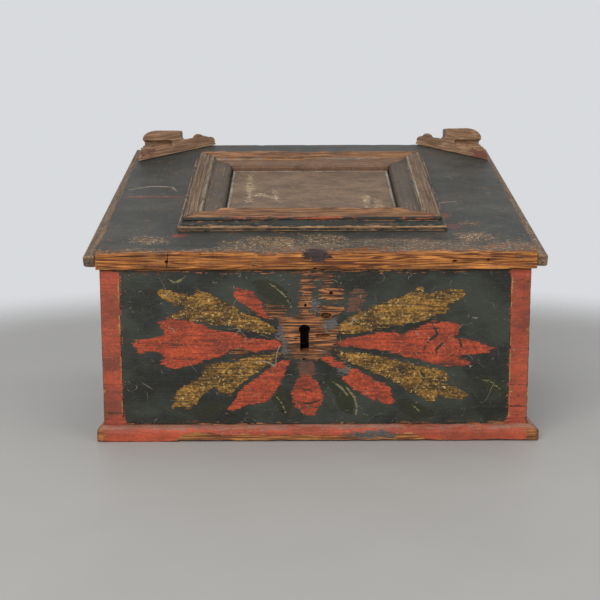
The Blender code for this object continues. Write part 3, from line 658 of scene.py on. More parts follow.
class EffectShelf:
    """Makes each shared effect once, as a node group."""

    def __init__(self) -> None:
        """Start with none made."""
        self.made: dict[Effect, bpy.types.NodeTree] = {}

    def get(self, effect: Effect) -> bpy.types.NodeTree:
        """An effect's node group, made by the method of its name the first time that it is asked for.

        Args:
            effect: which effect.

        Returns:
            The node group.
        """
        if effect not in self.made:
            getattr(self, effect.value)()
        return self.made[effect]

    def start(
        self, effect: Effect, inputs: dict[str, Feed], outputs: Sequence[str]
    ) -> tuple[Graph, dict[str, Socket], dict[str, Socket]]:
        """Put an empty node group with its sockets on the shelf.

        Args:
            effect: the effect that it is for.
            inputs: the inputs' names and defaults.
            outputs: the outputs' names.

        Returns:
            The group's graph, its inputs as sockets to read, and its outputs as sockets to feed.
        """
        tree = bpy.data.node_groups.new(effect.value, "ShaderNodeTree")
        self.made[effect] = tree
        for name, default in inputs.items():
            kind = "NodeSocketVector" if isinstance(default, tuple) else "NodeSocketFloat"
            tree.interface.new_socket(name, in_out="INPUT", socket_type=kind).default_value = default
        for name in outputs:
            tree.interface.new_socket(name, in_out="OUTPUT", socket_type="NodeSocketFloat")
        graph = Graph(tree)
        read = {socket.name: socket for socket in graph.node("NodeGroupInput").outputs if socket.name}
        fed = {socket.name: socket for socket in graph.node("NodeGroupOutput").inputs if socket.name}
        return graph, read, fed

    def grain(self) -> None:
        """Wood grain: the broad figure and the fine fibres."""
        inputs = {"Vector": (0, 0, 0), "Stretch": (5, 70, 70)}
        g, read, fed = self.start(Effect.GRAIN, inputs, ("Tone", "Fibre"))
        spot = g.scaled(read["Vector"], read["Stretch"])
        figure = g.noise(spot, 0.8, 2, 0.5, 0.35)
        rings = g.math("SINE", g.math("MULTIPLY", figure, 62))
        rings = g.wired("ShaderNodeMath", {0: rings, 1: 0.5, 2: 0.5}, operation="MULTIPLY_ADD")
        fine = g.noise(g.scaled(spot, (1.6, 6, 6)), 1, 5, 0.62)
        pores = g.noise(g.scaled(spot, (3, 20, 20)), 1, 2, 0.5)
        fibre = g.lerp(0.4, fine, pores)
        g.feed(fed["Tone"], g.lerp(0.55, rings, fibre))
        g.feed(fed["Fibre"], fibre)

    def wear(self) -> None:
        """Where a coat of paint has gone: first on arrises and along the grain."""
        inputs = {"Vector": (0, 0, 0), "Edge": 0.0, "Grain": 0.5, "Amount": 0.0}
        g, read, fed = self.start(Effect.WEAR, inputs, ("Mask",))
        broad = g.noise(read["Vector"], 24, 3)
        middle = g.noise(read["Vector"], 150, 4, 0.6)
        fine = g.noise(read["Vector"], 800, 3, 0.6)
        value = g.lerp(0.5, broad, g.lerp(0.4, middle, fine))
        value = g.math("ADD", value, g.math("MULTIPLY", read["Edge"], 0.34))
        drawn = g.math("MULTIPLY", g.math("SUBTRACT", read["Grain"], 0.5), 0.2)
        value = g.math("ADD", value, g.math("ADD", drawn, read["Amount"]))
        g.feed(fed["Mask"], g.step(value, 0.62, 0.68))

    def ragged(self) -> None:
        """A painted shape with an uneven rim, from the distance inside its outline."""
        inputs = {"Vector": (0, 0, 0), "Distance": 0.0, "Depth": 1.0}
        g, read, fed = self.start(Effect.RAGGED, inputs, ("Mask",))
        rough = g.noise(read["Vector"], 330, 4, 0.6)
        drawn = g.noise(g.scaled(read["Vector"], (110, 800, 800)), 1, 3)
        broad = g.noise(g.scaled(read["Vector"], (30, 90, 90)), 1, 2)
        shift = 0.0
        for value, weight in ((rough, 5), (drawn, 12), (broad, 5)):
            shift = g.math("ADD", shift, g.math("MULTIPLY", g.math("SUBTRACT", value, 0.5), weight))
        shift = g.math("MULTIPLY", shift, read["Depth"])
        g.feed(fed["Mask"], g.step(g.math("ADD", read["Distance"], shift), -0.3, 0.3))

    def brushed(self) -> None:
        """Brush streaks along the grain, and the grit of old oil paint, each spread from 0 to 1."""
        g, read, fed = self.start(Effect.BRUSHED, {"Vector": (0, 0, 0)}, ("Streak", "Grit"))
        long = g.noise(g.scaled(read["Vector"], (22, 520, 520)), 1, 4, 0.7)
        short = g.noise(g.scaled(read["Vector"], (90, 900, 900)), 1, 3, 0.65)
        g.feed(fed["Streak"], g.step(g.lerp(0.4, long, short), 0.36, 0.64))
        coarse = g.noise(g.scaled(read["Vector"], (0.75, 1, 1)), 420, 3, 0.7)
        fine = g.noise(g.scaled(read["Vector"], (0.75, 1, 1)), 1000, 3, 0.7)
        g.feed(fed["Grit"], g.step(g.lerp(0.45, coarse, fine), 0.36, 0.64))

    def crackle(self) -> None:
        """The fine net of cracks in old paint."""
        g, read, fed = self.start(Effect.CRACKLE, {"Vector": (0, 0, 0), "Scale": 300.0}, ("Line",))
        sway = g.wired("ShaderNodeTexNoise", {"Vector": read["Vector"], "Scale": 160}, "Color")
        bent = g.shifted(read["Vector"], g.scaled(sway, (0.004,) * 3))
        feeds = {"Vector": g.scaled(bent, (0.6, 1, 1)), "Scale": read["Scale"]}
        gap = g.wired("ShaderNodeTexVoronoi", feeds, "Distance", feature="DISTANCE_TO_EDGE")
        line = g.math("SUBTRACT", 1, g.step(gap, 0.0, 0.07))
        gate = g.step(g.noise(read["Vector"], 60, 3), 0.42, 0.62)
        g.feed(fed["Line"], g.math("MULTIPLY", line, gate))

    def scratches(self) -> None:
        """Thin pale hairlines, in a few places."""
        g, read, fed = self.start(Effect.SCRATCHES, {"Vector": (0, 0, 0), "Amount": 0.3}, ("Mask",))
        lines = []
        for scale, width, offset in ((19, 0.0022, 0.0), (43, 0.0035, 3.1), (90, 0.006, 7.7)):
            spot = g.shifted(read["Vector"], (offset,) * 3)
            trace = g.math("ABSOLUTE", g.math("SUBTRACT", g.noise(spot, scale, 1.5, 0.4, 0.5), 0.5))
            line = g.math("SUBTRACT", 1, g.step(trace, width * 0.4, width * 1.6))
            gate = g.step(g.noise(spot, scale * 1.7, 2), 0.56, 0.68)
            lines.append(g.math("MULTIPLY", line, gate))
        total = g.math("MAXIMUM", lines[0], g.math("MAXIMUM", lines[1], lines[2]))
        g.feed(fed["Mask"], g.math("MULTIPLY", total, read["Amount"]))

    def grime(self) -> None:
        """Dark dirt, in hollows and in patches; in the hollows it also paints shade."""
        inputs = {"Vector": (0, 0, 0), "Hollow": 0.0, "Amount": 0.4}
        g, read, fed = self.start(Effect.GRIME, inputs, ("Mask",))
        patch = g.step(g.noise(read["Vector"], 55, 5, 0.62), 0.4, 0.75)
        value = g.math("ADD", read["Hollow"], g.math("MULTIPLY", patch, 0.6))
        g.feed(fed["Mask"], g.math("MULTIPLY", value, read["Amount"], clamp=True))


EFFECTS = EffectShelf()


class Grain(Enum):
    """Which way a piece's grain runs, as noise cells in a metre along each axis."""

    ACROSS = (5.0, 110.0, 110.0)
    FINE = (7.0, 200.0, 200.0)
    DEEP = (110.0, 5.0, 110.0)


@dataclass(frozen=True)
class Surface:
    """What a material's coats need to know of the wood under them."""

    place: Socket  # where on the piece the point lies
    edge: Socket  # how exposed it is
    streak: Socket  # brush streaks along the grain
    grit: Socket  # the paint's grit

    def dark_streak(self, g: Graph) -> Socket:
        """How strongly a streak darkens what it lies on."""
        return g.step(self.streak, 0.4, 0.95)


@dataclass(frozen=True)
class Coat:
    """One layer of old paint."""

    area: str  # the mesh's own number for how far inside the layer's outline a point lies, in millimetres
    colour: Colour  # the paint
    shade: Colour  # what it has darkened to
    fleck: Colour  # the colour of the specks in it
    flecks: float = 0.05  # about how much of it is specks, from 0 to 0.5
    wear: float = -0.04  # how much has gone, from about -0.1 for little to 0.2 for most
    ragged: float = 0.7  # how uneven the rim is, in millimetres
    roughness: float = 0.5  # its gloss
    thickness: float = 0.35  # its height for the bump
    streaks: float = 0.45  # how strongly it is darkened in streaks
    grit: float = 0.4  # how strongly it is darkened in specks
    clouds: float = 75  # how many clouds of the shade lie in a metre
    clouding: float = 0.5  # how strong those are

    FLECKLESS: ClassVar[float] = 1.1
    BLUR: ClassVar[float] = 0.08

    def lay(self, g: Graph, surface: Surface) -> tuple[Socket, Socket]:
        """Work out where the coat is left, and its colour.

        Args:
            g: the material's graph.
            surface: the wood that it lies on.

        Returns:
            The cover and the colour.
        """
        place = surface.place
        feeds = {"Vector": place, "Edge": surface.edge, "Grain": surface.streak, "Amount": self.wear}
        gone = g.effect(Effect.WEAR, **feeds)["Mask"]
        distance = g.attribute(self.area)
        inside = g.effect(Effect.RAGGED, Vector=place, Distance=distance, Depth=self.ragged)["Mask"]
        cover = g.math("MULTIPLY", inside, g.math("SUBTRACT", 1, gone))
        cloud = g.step(g.noise(g.scaled(place, (0.6, 1, 1)), self.clouds, 5, 0.62), 0.38, 0.64)
        tint = g.blend(g.math("MULTIPLY", cloud, self.clouding), self.colour, self.shade)
        tint = g.blend(g.math("MULTIPLY", surface.dark_streak(g), self.streaks), tint, self.shade)
        pits = g.math("SUBTRACT", 1, g.step(surface.grit, 0.05, 0.5))
        tint = g.blend(g.math("MULTIPLY", pits, self.grit), tint, self.shade)
        above = self.FLECKLESS - self.flecks
        tint = g.blend(g.step(surface.grit, above - self.BLUR, above + self.BLUR), tint, self.fleck)
        return cover, tint


@dataclass(frozen=True)
class Finish:
    """A material that is made once."""

    name: str  # the material's name

    def material(self) -> bpy.types.Material:
        """The finish's material, made the first time that it is asked for.

        Returns:
            The material.
        """
        made = bpy.data.materials.get(self.name)
        if made is None:
            made = bpy.data.materials.new(self.name)
            made.use_nodes = True
            self.wire(Graph(made.node_tree), made.node_tree.nodes["Principled BSDF"].inputs)
        return made

    def wire(self, g: Graph, shader: bpy.types.NodeInputs) -> None:
        """Feed the inputs of the material's shader."""
        raise NotImplementedError


@dataclass(frozen=True)
class WoodFinish(Finish):
    """Aged wood with what is left of its coats of paint."""

    SPECULAR: ClassVar[float] = 0.28
    # Colour of dirt, and of painted shade in hollows
    DIRT_AND_SHADE: ClassVar[Colour] = (38, 31, 25)

    pale: Colour  # the wood's light bands
    mid: Colour  # its middle tone
    dark: Colour  # its dark lines
    grain: Grain  # which way its grain runs
    coats: tuple[Coat, ...] = ()  # the layers of paint, lowest first
    roughness: float = 0.62  # the bare wood's gloss
    relief: float = 1.0  # how deep its grain stands
    scratches: float = 0.3  # how strongly pale scratches show
    grime: float = 0.5  # how strongly dirt, and painted shade in hollows, shows
    scratch_colour: Colour = (160, 148, 130)  # what shows in a scratch
    arris: Colour = (196, 146, 92)  # what its rubbed arrises have paled to
    streaks: float = 0.5  # how strongly it is darkened in streaks

    def wire(self, g: Graph, shader: bpy.types.NodeInputs) -> None:
        """Lay grain, coats, cracks, dirt and scratches over each other and feed them to the shader.

        Args:
            g: the material's graph.
            shader: the shader's inputs.
        """
        shader["Specular IOR Level"].default_value = self.SPECULAR
        place = g.attribute("place", "Vector")
        edge, hollow = g.attribute("edge"), g.attribute("hollow")
        grain = g.effect(Effect.GRAIN, Vector=place, Stretch=self.grain.value)
        fibre = grain["Fibre"]
        colour = g.ramp(grain["Tone"], ((0.2, self.dark), (0.45, self.mid), (0.75, self.pale)))
        patina = g.step(g.noise(place, 30, 4), 0.35, 0.7)
        colour = g.blend(g.math("MULTIPLY", patina, 0.45), colour, self.dark)
        rubbed = g.math("MULTIPLY", g.step(edge, 0.3, 0.85), g.step(fibre, 0.3, 0.55))
        colour = g.blend(g.math("MULTIPLY", rubbed, 0.7), colour, self.arris)
        roughness: Feed = self.roughness
        height = g.math("MULTIPLY", fibre, self.relief)
        brushed = g.effect(Effect.BRUSHED, Vector=place)
        surface = Surface(place, edge, brushed["Streak"], brushed["Grit"])
        colour = g.blend(g.math("MULTIPLY", surface.dark_streak(g), self.streaks), colour, self.dark)
        for coat in self.coats:
            cover, tint = coat.lay(g, surface)
            colour = g.blend(cover, colour, tint)
            roughness = g.lerp(cover, roughness, coat.roughness)
            smooth = g.math("MULTIPLY", height, 0.45)
            smooth = g.math("ADD", smooth, g.math("MULTIPLY", surface.grit, 0.5 * coat.thickness))
            height = g.lerp(cover, height, g.math("ADD", smooth, coat.thickness))
        crack = g.effect(Effect.CRACKLE, Vector=place, Scale=330.0)["Line"]
        colour = g.blend(g.math("MULTIPLY", crack, 0.3), colour, self.dark)
        height = g.math("SUBTRACT", height, g.math("MULTIPLY", crack, 0.25))
        # Dirt, with painted shade in the hollows, darkens the colour
        dirt = g.effect(Effect.GRIME, Vector=place, Hollow=hollow, Amount=self.grime)["Mask"]
        colour = g.blend(g.math("MULTIPLY", dirt, 0.75), colour, self.DIRT_AND_SHADE)
        hairs = g.effect(Effect.SCRATCHES, Vector=place, Amount=self.scratches)["Mask"]
        colour = g.blend(hairs, colour, self.scratch_colour)
        height = g.math("SUBTRACT", height, g.math("MULTIPLY", hairs, 0.3))
        g.feed(shader["Base Color"], colour)
        g.feed(shader["Roughness"], roughness)
        g.feed(shader["Normal"], g.bumped(height, 0.8, 0.6 * MM))


@dataclass(frozen=True)
class IronFinish(Finish):
    """Forged iron, dark with scale, rusted in patches and bright where it is rubbed."""

    scale: Colour  # the dark skin's colour
    rust: Colour  # the rust's colour
    bright: Colour  # the rubbed metal's colour
    rusted: float  # noise value over which rust shows
    rubbed: float  # noise value over which metal shows
    coats: tuple[Coat, ...] = ()  # it has no paint

    def wire(self, g: Graph, shader: bpy.types.NodeInputs) -> None:
        """Lay scale, rubbed metal, rust and dirt over each other and feed them to the shader.

        Args:
            g: the material's graph.
            shader: the shader's inputs.
        """
        place = g.node("ShaderNodeTexCoord").outputs["Object"]
        pits = g.noise(place, 900, 4, 0.65)
        rust = g.step(g.noise(place, 190, 5, 0.65), self.rusted - 0.06, self.rusted + 0.06)
        rubbed = g.step(g.noise(place, 90, 3), self.rubbed - 0.08, self.rubbed + 0.08)
        colour = g.blend(g.step(pits, 0.35, 0.7), self.scale, self.bright)
        colour = g.blend(rubbed, g.blend(0.75, colour, self.scale), colour)
        colour = g.blend(rust, colour, g.blend(pits, self.rust, self.scale))
        dirt = g.effect(Effect.GRIME, Vector=place, Hollow=0.0, Amount=0.5)["Mask"]
        colour = g.blend(dirt, colour, self.scale)
        g.feed(shader["Base Color"], colour)
        g.feed(shader["Metallic"], g.lerp(rust, 0.85, 0.1))
        g.feed(shader["Roughness"], g.lerp(rust, g.lerp(rubbed, 0.55, 0.36), 0.85))
        g.feed(shader["Normal"], g.bumped(g.math("ADD", pits, g.math("MULTIPLY", rust, 0.4)), 0.6, 0.3 * MM))


PINE_PALE = (212, 144, 76)
PINE_MID = (158, 94, 46)
PINE_DARK = (78, 46, 27)
INNER_PALE = (206, 152, 94)
INNER_MID = (172, 116, 66)
INNER_DARK = (126, 80, 44)
BROWN_PALE = (154, 126, 98)
BROWN_MID = (122, 98, 76)
BROWN_DARK = (78, 60, 46)
PALE_ARRIS = (178, 154, 126)
GREEN_BLACK = (29, 29, 24)
GREEN_CLOUD = (60, 64, 55)
DUST = (124, 118, 104)
RED = (186, 76, 44)
RED_SHADE = (92, 44, 32)
RED_PIT = (74, 48, 38)
OCHRE = (166, 120, 46)
OCHRE_SHADE = (44, 33, 20)
OCHRE_FLECK = (200, 172, 112)

CLEAN = Coat(
    "clean", (186, 130, 78), (136, 88, 50), INNER_PALE, wear=-0.1, ragged=0.3, roughness=0.6,
    thickness=0, streaks=0.5, grit=0.15, clouds=22, clouding=0.35,
)
GROUND = Coat(
    "ground", GREEN_BLACK, GREEN_CLOUD, DUST, flecks=0.06, wear=-0.09, ragged=1.5, roughness=0.42,
    streaks=0.2, grit=0.2, clouds=26, clouding=0.85,
)
PRIMER = Coat("primer", (92, 94, 92), (66, 62, 56), PINE_MID, flecks=0.2, wear=0.06, ragged=1.6)
STRIP = Coat(
    "strip", (180, 80, 54), (96, 54, 44), PINE_MID, flecks=0.1, wear=-0.01, clouds=40, clouding=0.7
)
FADED = Coat("faded", (112, 72, 56), (72, 54, 44), RED_PIT, flecks=0.12, wear=0.04, ragged=1.2)
PETAL_RED = Coat(
    "red", RED, RED_SHADE, (204, 104, 60), flecks=0.16, wear=-0.02, thickness=0.6, streaks=0.7, grit=0.65
)
PETAL_OCHRE = Coat(
    "ochre", OCHRE, OCHRE_SHADE, OCHRE_FLECK, flecks=0.21, wear=-0.05, thickness=0.8, roughness=0.55,
    streaks=0.8, grit=0.8, clouds=75, clouding=0.75,
)
LEAF = Coat("leaf", (44, 46, 26), (35, 36, 26), (74, 72, 40))
LIGHT = Coat("light", (128, 122, 84), (108, 102, 72), DUST, ragged=0.35, wear=0.02)
VEIN = Coat("vein", (50, 44, 34), (42, 38, 30), RED_PIT, ragged=0.3)

PAINTED_FRONT = WoodFinish(
    "painted_front_pine", (208, 134, 78), (108, 68, 44), (38, 27, 20), Grain.FINE,
    (CLEAN, GROUND, PRIMER, STRIP, FADED, PETAL_RED, PETAL_OCHRE, LEAF, LIGHT, VEIN),
    scratches=0.55, streaks=0.85,
)
PAINTED_SIDE = WoodFinish(
    "painted_side_pine", INNER_PALE, INNER_MID, INNER_DARK, Grain.DEEP, (GROUND, STRIP, VEIN), streaks=0.25
)
PAINTED_BACK = WoodFinish(
    "painted_back_pine", INNER_PALE, INNER_MID, INNER_DARK, Grain.ACROSS, (GROUND,), streaks=0.25
)
BARE_PINE = WoodFinish("aged_bare_pine", INNER_PALE, INNER_MID, INNER_DARK, Grain.ACROSS, streaks=0.25)
LID_GROUND = Coat(
    "ground", (42, 46, 43), (68, 67, 61), DUST, flecks=0.1, wear=-0.08, ragged=2.5, roughness=0.45,
    streaks=0.45, grit=0.4, clouds=30, clouding=0.9,
)
RUBBED = Coat(
    "rubbed", (116, 94, 74), (62, 58, 52), (176, 156, 128),
    flecks=0.24, wear=0.12, ragged=2.5, grit=0.8,
)
SCUFF = Coat(
    "scuff", (126, 98, 68), (46, 43, 38), (196, 174, 138),
    flecks=0.3, wear=0.1, ragged=3, grit=1.0,
)
TRACE = Coat("red", (140, 66, 50), (98, 60, 50), RED_PIT, wear=0.04, ragged=1.6)
BURN = Coat("burn", (44, 30, 28), (58, 42, 36), (100, 64, 42), ragged=1.2)
LID_LIGHT = Coat("light", (150, 132, 116), (120, 108, 98), DUST, ragged=0.4, wear=0.05)
PAINTED_LID = WoodFinish(
    "painted_lid_pine", (224, 148, 72), (158, 88, 38), (62, 35, 20), Grain.FINE,
    (CLEAN, LID_GROUND, RUBBED, SCUFF, TRACE, LID_LIGHT, BURN), relief=1.8, grime=0.7,
)
RED_BASE = Coat(
    "red", (190, 84, 54), (124, 60, 44), PINE_MID, wear=-0.01, streaks=0.35, clouds=40, clouding=0.6
)
# Paler paint on the base's top curve: faded, and partly a painted highlight on the lit top
FADED_AND_LIT_TOP = Coat("faded", (160, 110, 90), (128, 84, 70), DUST, wear=0.08)
PAINTED_BASE = WoodFinish(
    "painted_base_pine", PINE_PALE, PINE_MID, PINE_DARK, Grain.FINE, (RED_BASE, FADED_AND_LIT_TOP, PRIMER), relief=1.5
)
COVE = Coat(
    "cove", (48, 54, 50), (36, 38, 35), (170, 90, 54),
    flecks=0.1, wear=-0.05, ragged=0.3,
)
BEAD = Coat(
    "bead", (190, 148, 106), (136, 110, 86), (170, 160, 140),
    flecks=0.1, wear=0.02, ragged=0.25,
)
LIP = Coat(
    "lip", (176, 84, 50), (132, 76, 50), (190, 140, 92),
    flecks=0.12, wear=0.19, ragged=0.6,
)
BAND = Coat(
    "band", (88, 74, 61), (58, 50, 42), (140, 112, 84),
    flecks=0.12, wear=0.03, ragged=0.8,
)
WARM_BAND = Coat(
    "band", (132, 100, 77), (90, 69, 54), (170, 140, 108),
    flecks=0.12, wear=0.04, ragged=0.8,
)
LINE = Coat("line", (160, 150, 134), (122, 110, 96), DUST, wear=0.08, ragged=0.4)
WORN_FRAME = WoodFinish(
    "worn_frame_pine", BROWN_PALE, BROWN_MID, BROWN_DARK, Grain.FINE, (COVE, BEAD, BAND, LINE),
    relief=1.4, grime=0.45, arris=PALE_ARRIS,
)
WARM_FRAME = WoodFinish(
    "warm_frame_pine", (186, 134, 88), (140, 98, 66), (84, 58, 41), Grain.FINE,
    (COVE, BEAD, WARM_BAND, LIP, LINE), relief=1.4, grime=0.4,
)
PANEL_LIGHT = Coat(
    "light", (182, 156, 120), (118, 96, 76), (214, 194, 160),
    flecks=0.3, wear=0.05, ragged=2.2, grit=0.9,
)
PANEL_FILM = Coat(
    "film", (132, 106, 79), (84, 70, 56), (154, 130, 104), flecks=0.12, wear=0.06, ragged=2,
    clouds=48, clouding=0.75,
)
# Painted highlight: a pale rim where the panel's edge along the frame catches the light
PANEL_RIM_HIGHLIGHT = Coat("rim", (172, 170, 164), (136, 130, 118), DUST, wear=-0.03, ragged=0.4)
# Its near-white arris colour is wear and, along the frame, a painted highlight
WORN_PANEL = WoodFinish(
    "worn_panel_pine", BROWN_PALE, BROWN_MID, BROWN_DARK, Grain.FINE,
    (PANEL_FILM, PANEL_RIM_HIGHLIGHT, PANEL_LIGHT, VEIN), scratches=0.5, arris=(190, 180, 164), streaks=0.3,
)
WORN_STRIP = WoodFinish("worn_strip_pine", BROWN_PALE, BROWN_MID, BROWN_DARK, Grain.DEEP, (RUBBED,))
BRACKET_RED = Coat("red", (132, 80, 62), (110, 76, 62), RED_PIT, wear=0.08, ragged=2)
# Dark paint on the brackets' rims and tops, and painted shade where they turn from the face and under the
# roll
BRACKET_DARK_AND_SHADE = Coat("dark", (76, 68, 60), (56, 51, 46), BROWN_MID, flecks=0.15, wear=0.02, ragged=0.6)
# Its grime also paints the shade in the groove under the roll
WORN_BRACKET = WoodFinish(
    "worn_bracket_pine", (190, 150, 114), (154, 118, 89), (108, 80, 60), Grain.FINE,
    (BRACKET_RED, BRACKET_DARK_AND_SHADE), grime=0.45, arris=PALE_ARRIS, streaks=0.35,
)
FORGED = IronFinish("forged_iron", (48, 44, 41), (98, 58, 36), (112, 106, 100), 0.6, 0.6)
FILED = IronFinish("filed_iron", (70, 67, 64), (104, 66, 44), (158, 154, 148), 0.68, 0.45)


class Shape:
    """A painted shape or a mark on a flat face, in millimetres."""

    points: Array

    def inside(self, spots: Array) -> Array:
        """How far inside the shape each spot lies.

        Args:
            spots: two coordinates for each spot, in millimetres.

        Returns:
            Millimetres inside the shape, negative outside it.
        """
        raise NotImplementedError


class Outline(Shape):
    """A painted shape's closed outline."""

    def __init__(self, *points: tuple[float, float]) -> None:
        """Take the outline's corners, which the brush rounds off."""
        self.points = softened(np.array(points, float), 1)

    def inside(self, spots: Array) -> Array:
        """How far inside the outline each spot lies.

        Args:
            spots: two coordinates for each spot, in millimetres.

        Returns:
            Millimetres inside it, negative outside.
        """
        near = np.full(len(spots), -FAR_OUTSIDE)
        within = np.zeros(len(spots), bool)
        for start, end in zip(self.points, np.roll(self.points, -1, axis=0)):
            run = end - start
            share = np.clip((spots - start) @ run / max(run @ run, TINY), 0, 1)
            near = np.minimum(near, np.linalg.norm(spots - start - share[:, None] * run, axis=1))
            crossed = (start[1] > spots[:, 1]) != (end[1] > spots[:, 1])
            slant = run[0] / run[1] if run[1] else 0.0
            within ^= crossed & (spots[:, 0] < start[0] + (spots[:, 1] - start[1]) * slant)
        return np.where(within, near, -near)


class Stroke(Shape):
    """A brush stroke or a scratch along a line, thin at both ends."""

    def __init__(self, width: float, *points: tuple[float, float]) -> None:
        """Take the stroke's greatest width and the points on its line."""
        self.half = width / 2
        self.points = np.array(points, float)

    def inside(self, spots: Array) -> Array:
        """How far inside the stroke each spot lies.

        Args:
            spots: two coordinates for each spot, in millimetres.

        Returns:
            Millimetres inside it, negative outside.
        """
        runs = np.diff(self.points, axis=0)
        lengths = np.linalg.norm(runs, axis=1)
        total = lengths.sum()
        best = np.full(len(spots), FAR_OUTSIDE)
        for start, run, length, before in zip(self.points, runs, lengths, np.cumsum(lengths) - lengths):
            share = np.clip((spots - start) @ run / length**2, 0, 1)
            away = np.linalg.norm(spots - start - share[:, None] * run, axis=1)
            along = (before + share * length) / total
            best = np.maximum(best, self.half * np.sqrt(np.sin(pi * along) + 0.05) - away)
        return best


def masked(mask: Array, areas: dict[str, Array]) -> dict[str, Array]:
    """Painted areas, kept only where a mask is set."""
    return {name: np.where(mask, area, FAR_OUTSIDE) for name, area in areas.items()}


def layer(spots: Array, shapes: Sequence[Shape]) -> Array:
    """How far inside the nearest of some shapes each spot lies, in millimetres.

    Args:
        spots: two coordinates for each spot, in millimetres.
        shapes: the shapes.

    Returns:
        One value for each spot.
    """
    best = np.full(len(spots), FAR_OUTSIDE)
    for shape in shapes:
        low, high = shape.points.min(axis=0) - LAYER_REACH, shape.points.max(axis=0) + LAYER_REACH
        close = np.all((spots > low) & (spots < high), axis=1)
        best[close] = np.maximum(best[close], shape.inside(spots[close]))
    return best


RED_PETALS = (
    Outline(
        (-158, -10), (-141, -8), (-133, -6), (-127, -3), (-131, 3), (-133, 8), (-128, 11), (-117, 11),
        (-107, 10), (-97, 6), (-86, 2), (-76, 0), (-64, -2), (-55, -6), (-48, -8), (-36, -9), (-24, -9),
        (-20, -13), (-22, -17), (-32, -18), (-43, -20), (-50, -19), (-58, -16), (-66, -17), (-71, -21),
        (-74, -24), (-81, -26), (-92, -29), (-99, -32), (-110, -34), (-121, -36), (-125, -34),
        (-133, -29), (-127, -26), (-131, -21), (-139, -19), (-153, -21), (-154, -16),
    ),
    Outline(
        (-20, -26), (-12, -28), (-17, -36), (-20, -45), (-25, -56), (-31, -64), (-38, -69), (-48, -68),
        (-58, -72), (-68, -77), (-71, -73), (-64, -65), (-61, -57), (-50, -49), (-40, -41), (-28, -31),
    ),
    Outline(
        (-63, 40), (-56, 37), (-48, 36), (-41, 30), (-37, 24), (-38, 19), (-32, 12), (-35, 10), (-45, 17),
        (-56, 24), (-63, 30),
    ),
    Outline(
        (-5, -42), (9, -43), (14, -54), (17, -64), (13, -73), (7, -81), (0, -79), (-8, -71), (-13, -62),
        (-10, -52),
    ),
    Outline(
        (30, -9), (41, -8), (52, -6), (63, -3), (73, -1), (84, -1), (89, -4), (97, 0), (106, 0), (104, 3),
        (115, 7), (126, 7), (141, 6), (141, -2), (134, -8), (146, -8), (156, -11), (167, -14), (177, -18),
        (164, -21), (152, -23), (140, -24), (140, -27), (156, -29), (145, -33), (132, -33), (119, -32),
        (106, -28), (93, -24), (80, -20), (67, -18), (55, -16), (43, -15), (31, -15),
    ),
    Outline(
        (42, -36), (49, -37), (59, -43), (71, -49), (79, -53), (78, -59), (83, -64), (80, -71), (73, -69),
        (66, -64), (62, -67), (55, -61), (47, -56), (39, -49), (33, -44), (41, -42),
    ),
    Outline((15, -26), (22, -22), (31, -29), (39, -35), (30, -35), (21, -31)),
)
OCHRE_PETALS = (
    Outline(
        (-135, 37), (-124, 38), (-115, 36), (-105, 32), (-100, 32), (-100, 37), (-93, 37), (-84, 33),
        (-77, 29), (-68, 25), (-60, 21), (-58, 16), (-48, 13), (-39, 9), (-30, 5), (-23, -1), (-30, -3),
        (-40, -2), (-50, 0), (-59, 2), (-71, 4), (-81, 5), (-92, 7), (-102, 9), (-115, 11), (-123, 12),
        (-115, 17), (-106, 20), (-111, 23), (-120, 25), (-128, 29),
    ),
    Outline(
        (-21, -20), (-32, -22), (-43, -23), (-56, -26), (-68, -29), (-81, -30), (-90, -33), (-95, -38),
        (-94, -43), (-100, -47), (-108, -51), (-116, -56), (-119, -61), (-119, -67), (-124, -73),
        (-114, -70), (-107, -74), (-101, -70), (-95, -61), (-89, -57), (-83, -52), (-78, -57), (-69, -62),
        (-64, -56), (-58, -49), (-47, -42), (-37, -34), (-28, -30), (-22, -25),
    ),
    Outline(
        (30, 3), (38, 10), (47, 15), (58, 19), (68, 23), (78, 27), (89, 31), (95, 35), (102, 40),
        (108, 38), (107, 33), (112, 33), (124, 37), (135, 38), (146, 37), (146, 31), (137, 26), (127, 23),
        (132, 20), (130, 15), (119, 12), (104, 8), (91, 5), (78, 3), (67, 1), (55, -1), (43, -3),
        (33, -4),
    ),
    Outline(
        (25, -18), (37, -19), (47, -20), (60, -23), (73, -26), (86, -29), (99, -31), (112, -34),
        (123, -37), (132, -41), (133, -46), (124, -49), (136, -51), (145, -57), (151, -61), (141, -66),
        (130, -63), (122, -58), (121, -65), (116, -68), (106, -62), (94, -56), (81, -48), (68, -42),
        (55, -36), (43, -30), (32, -25),
    ),
)
FADED_PETALS = (
    Outline((42, 36), (50, 39), (57, 33), (53, 25), (46, 18), (37, 16), (40, 26)),
    Outline((-7, -29), (10, -29), (9, -44), (-5, -44)),
)
BARE_PATCHES = (
    Outline(
        (-22, 12), (-5, 13), (-4, 22), (-3, 54), (7, 54), (6, 12), (14, 10), (30, 8), (30, -16),
        (22, -19), (16, -27), (-6, -28), (-14, -24), (-18, -12), (-21, -2),
    ),
    Outline((-38, 23), (-17, 22), (-17, 11), (-33, 11)),
    Outline((7, 54), (26, 54), (27, 46), (21, 42), (15, 47), (7, 47)),
    Outline((15, 38), (36, 39), (34, 28), (21, 27), (14, 30)),
    Outline((13, 24), (34, 23), (36, 17), (26, 10), (12, 15)),
    Outline((-67, -18), (-58, -16), (-49, -20), (-56, -24), (-66, -24)),
)
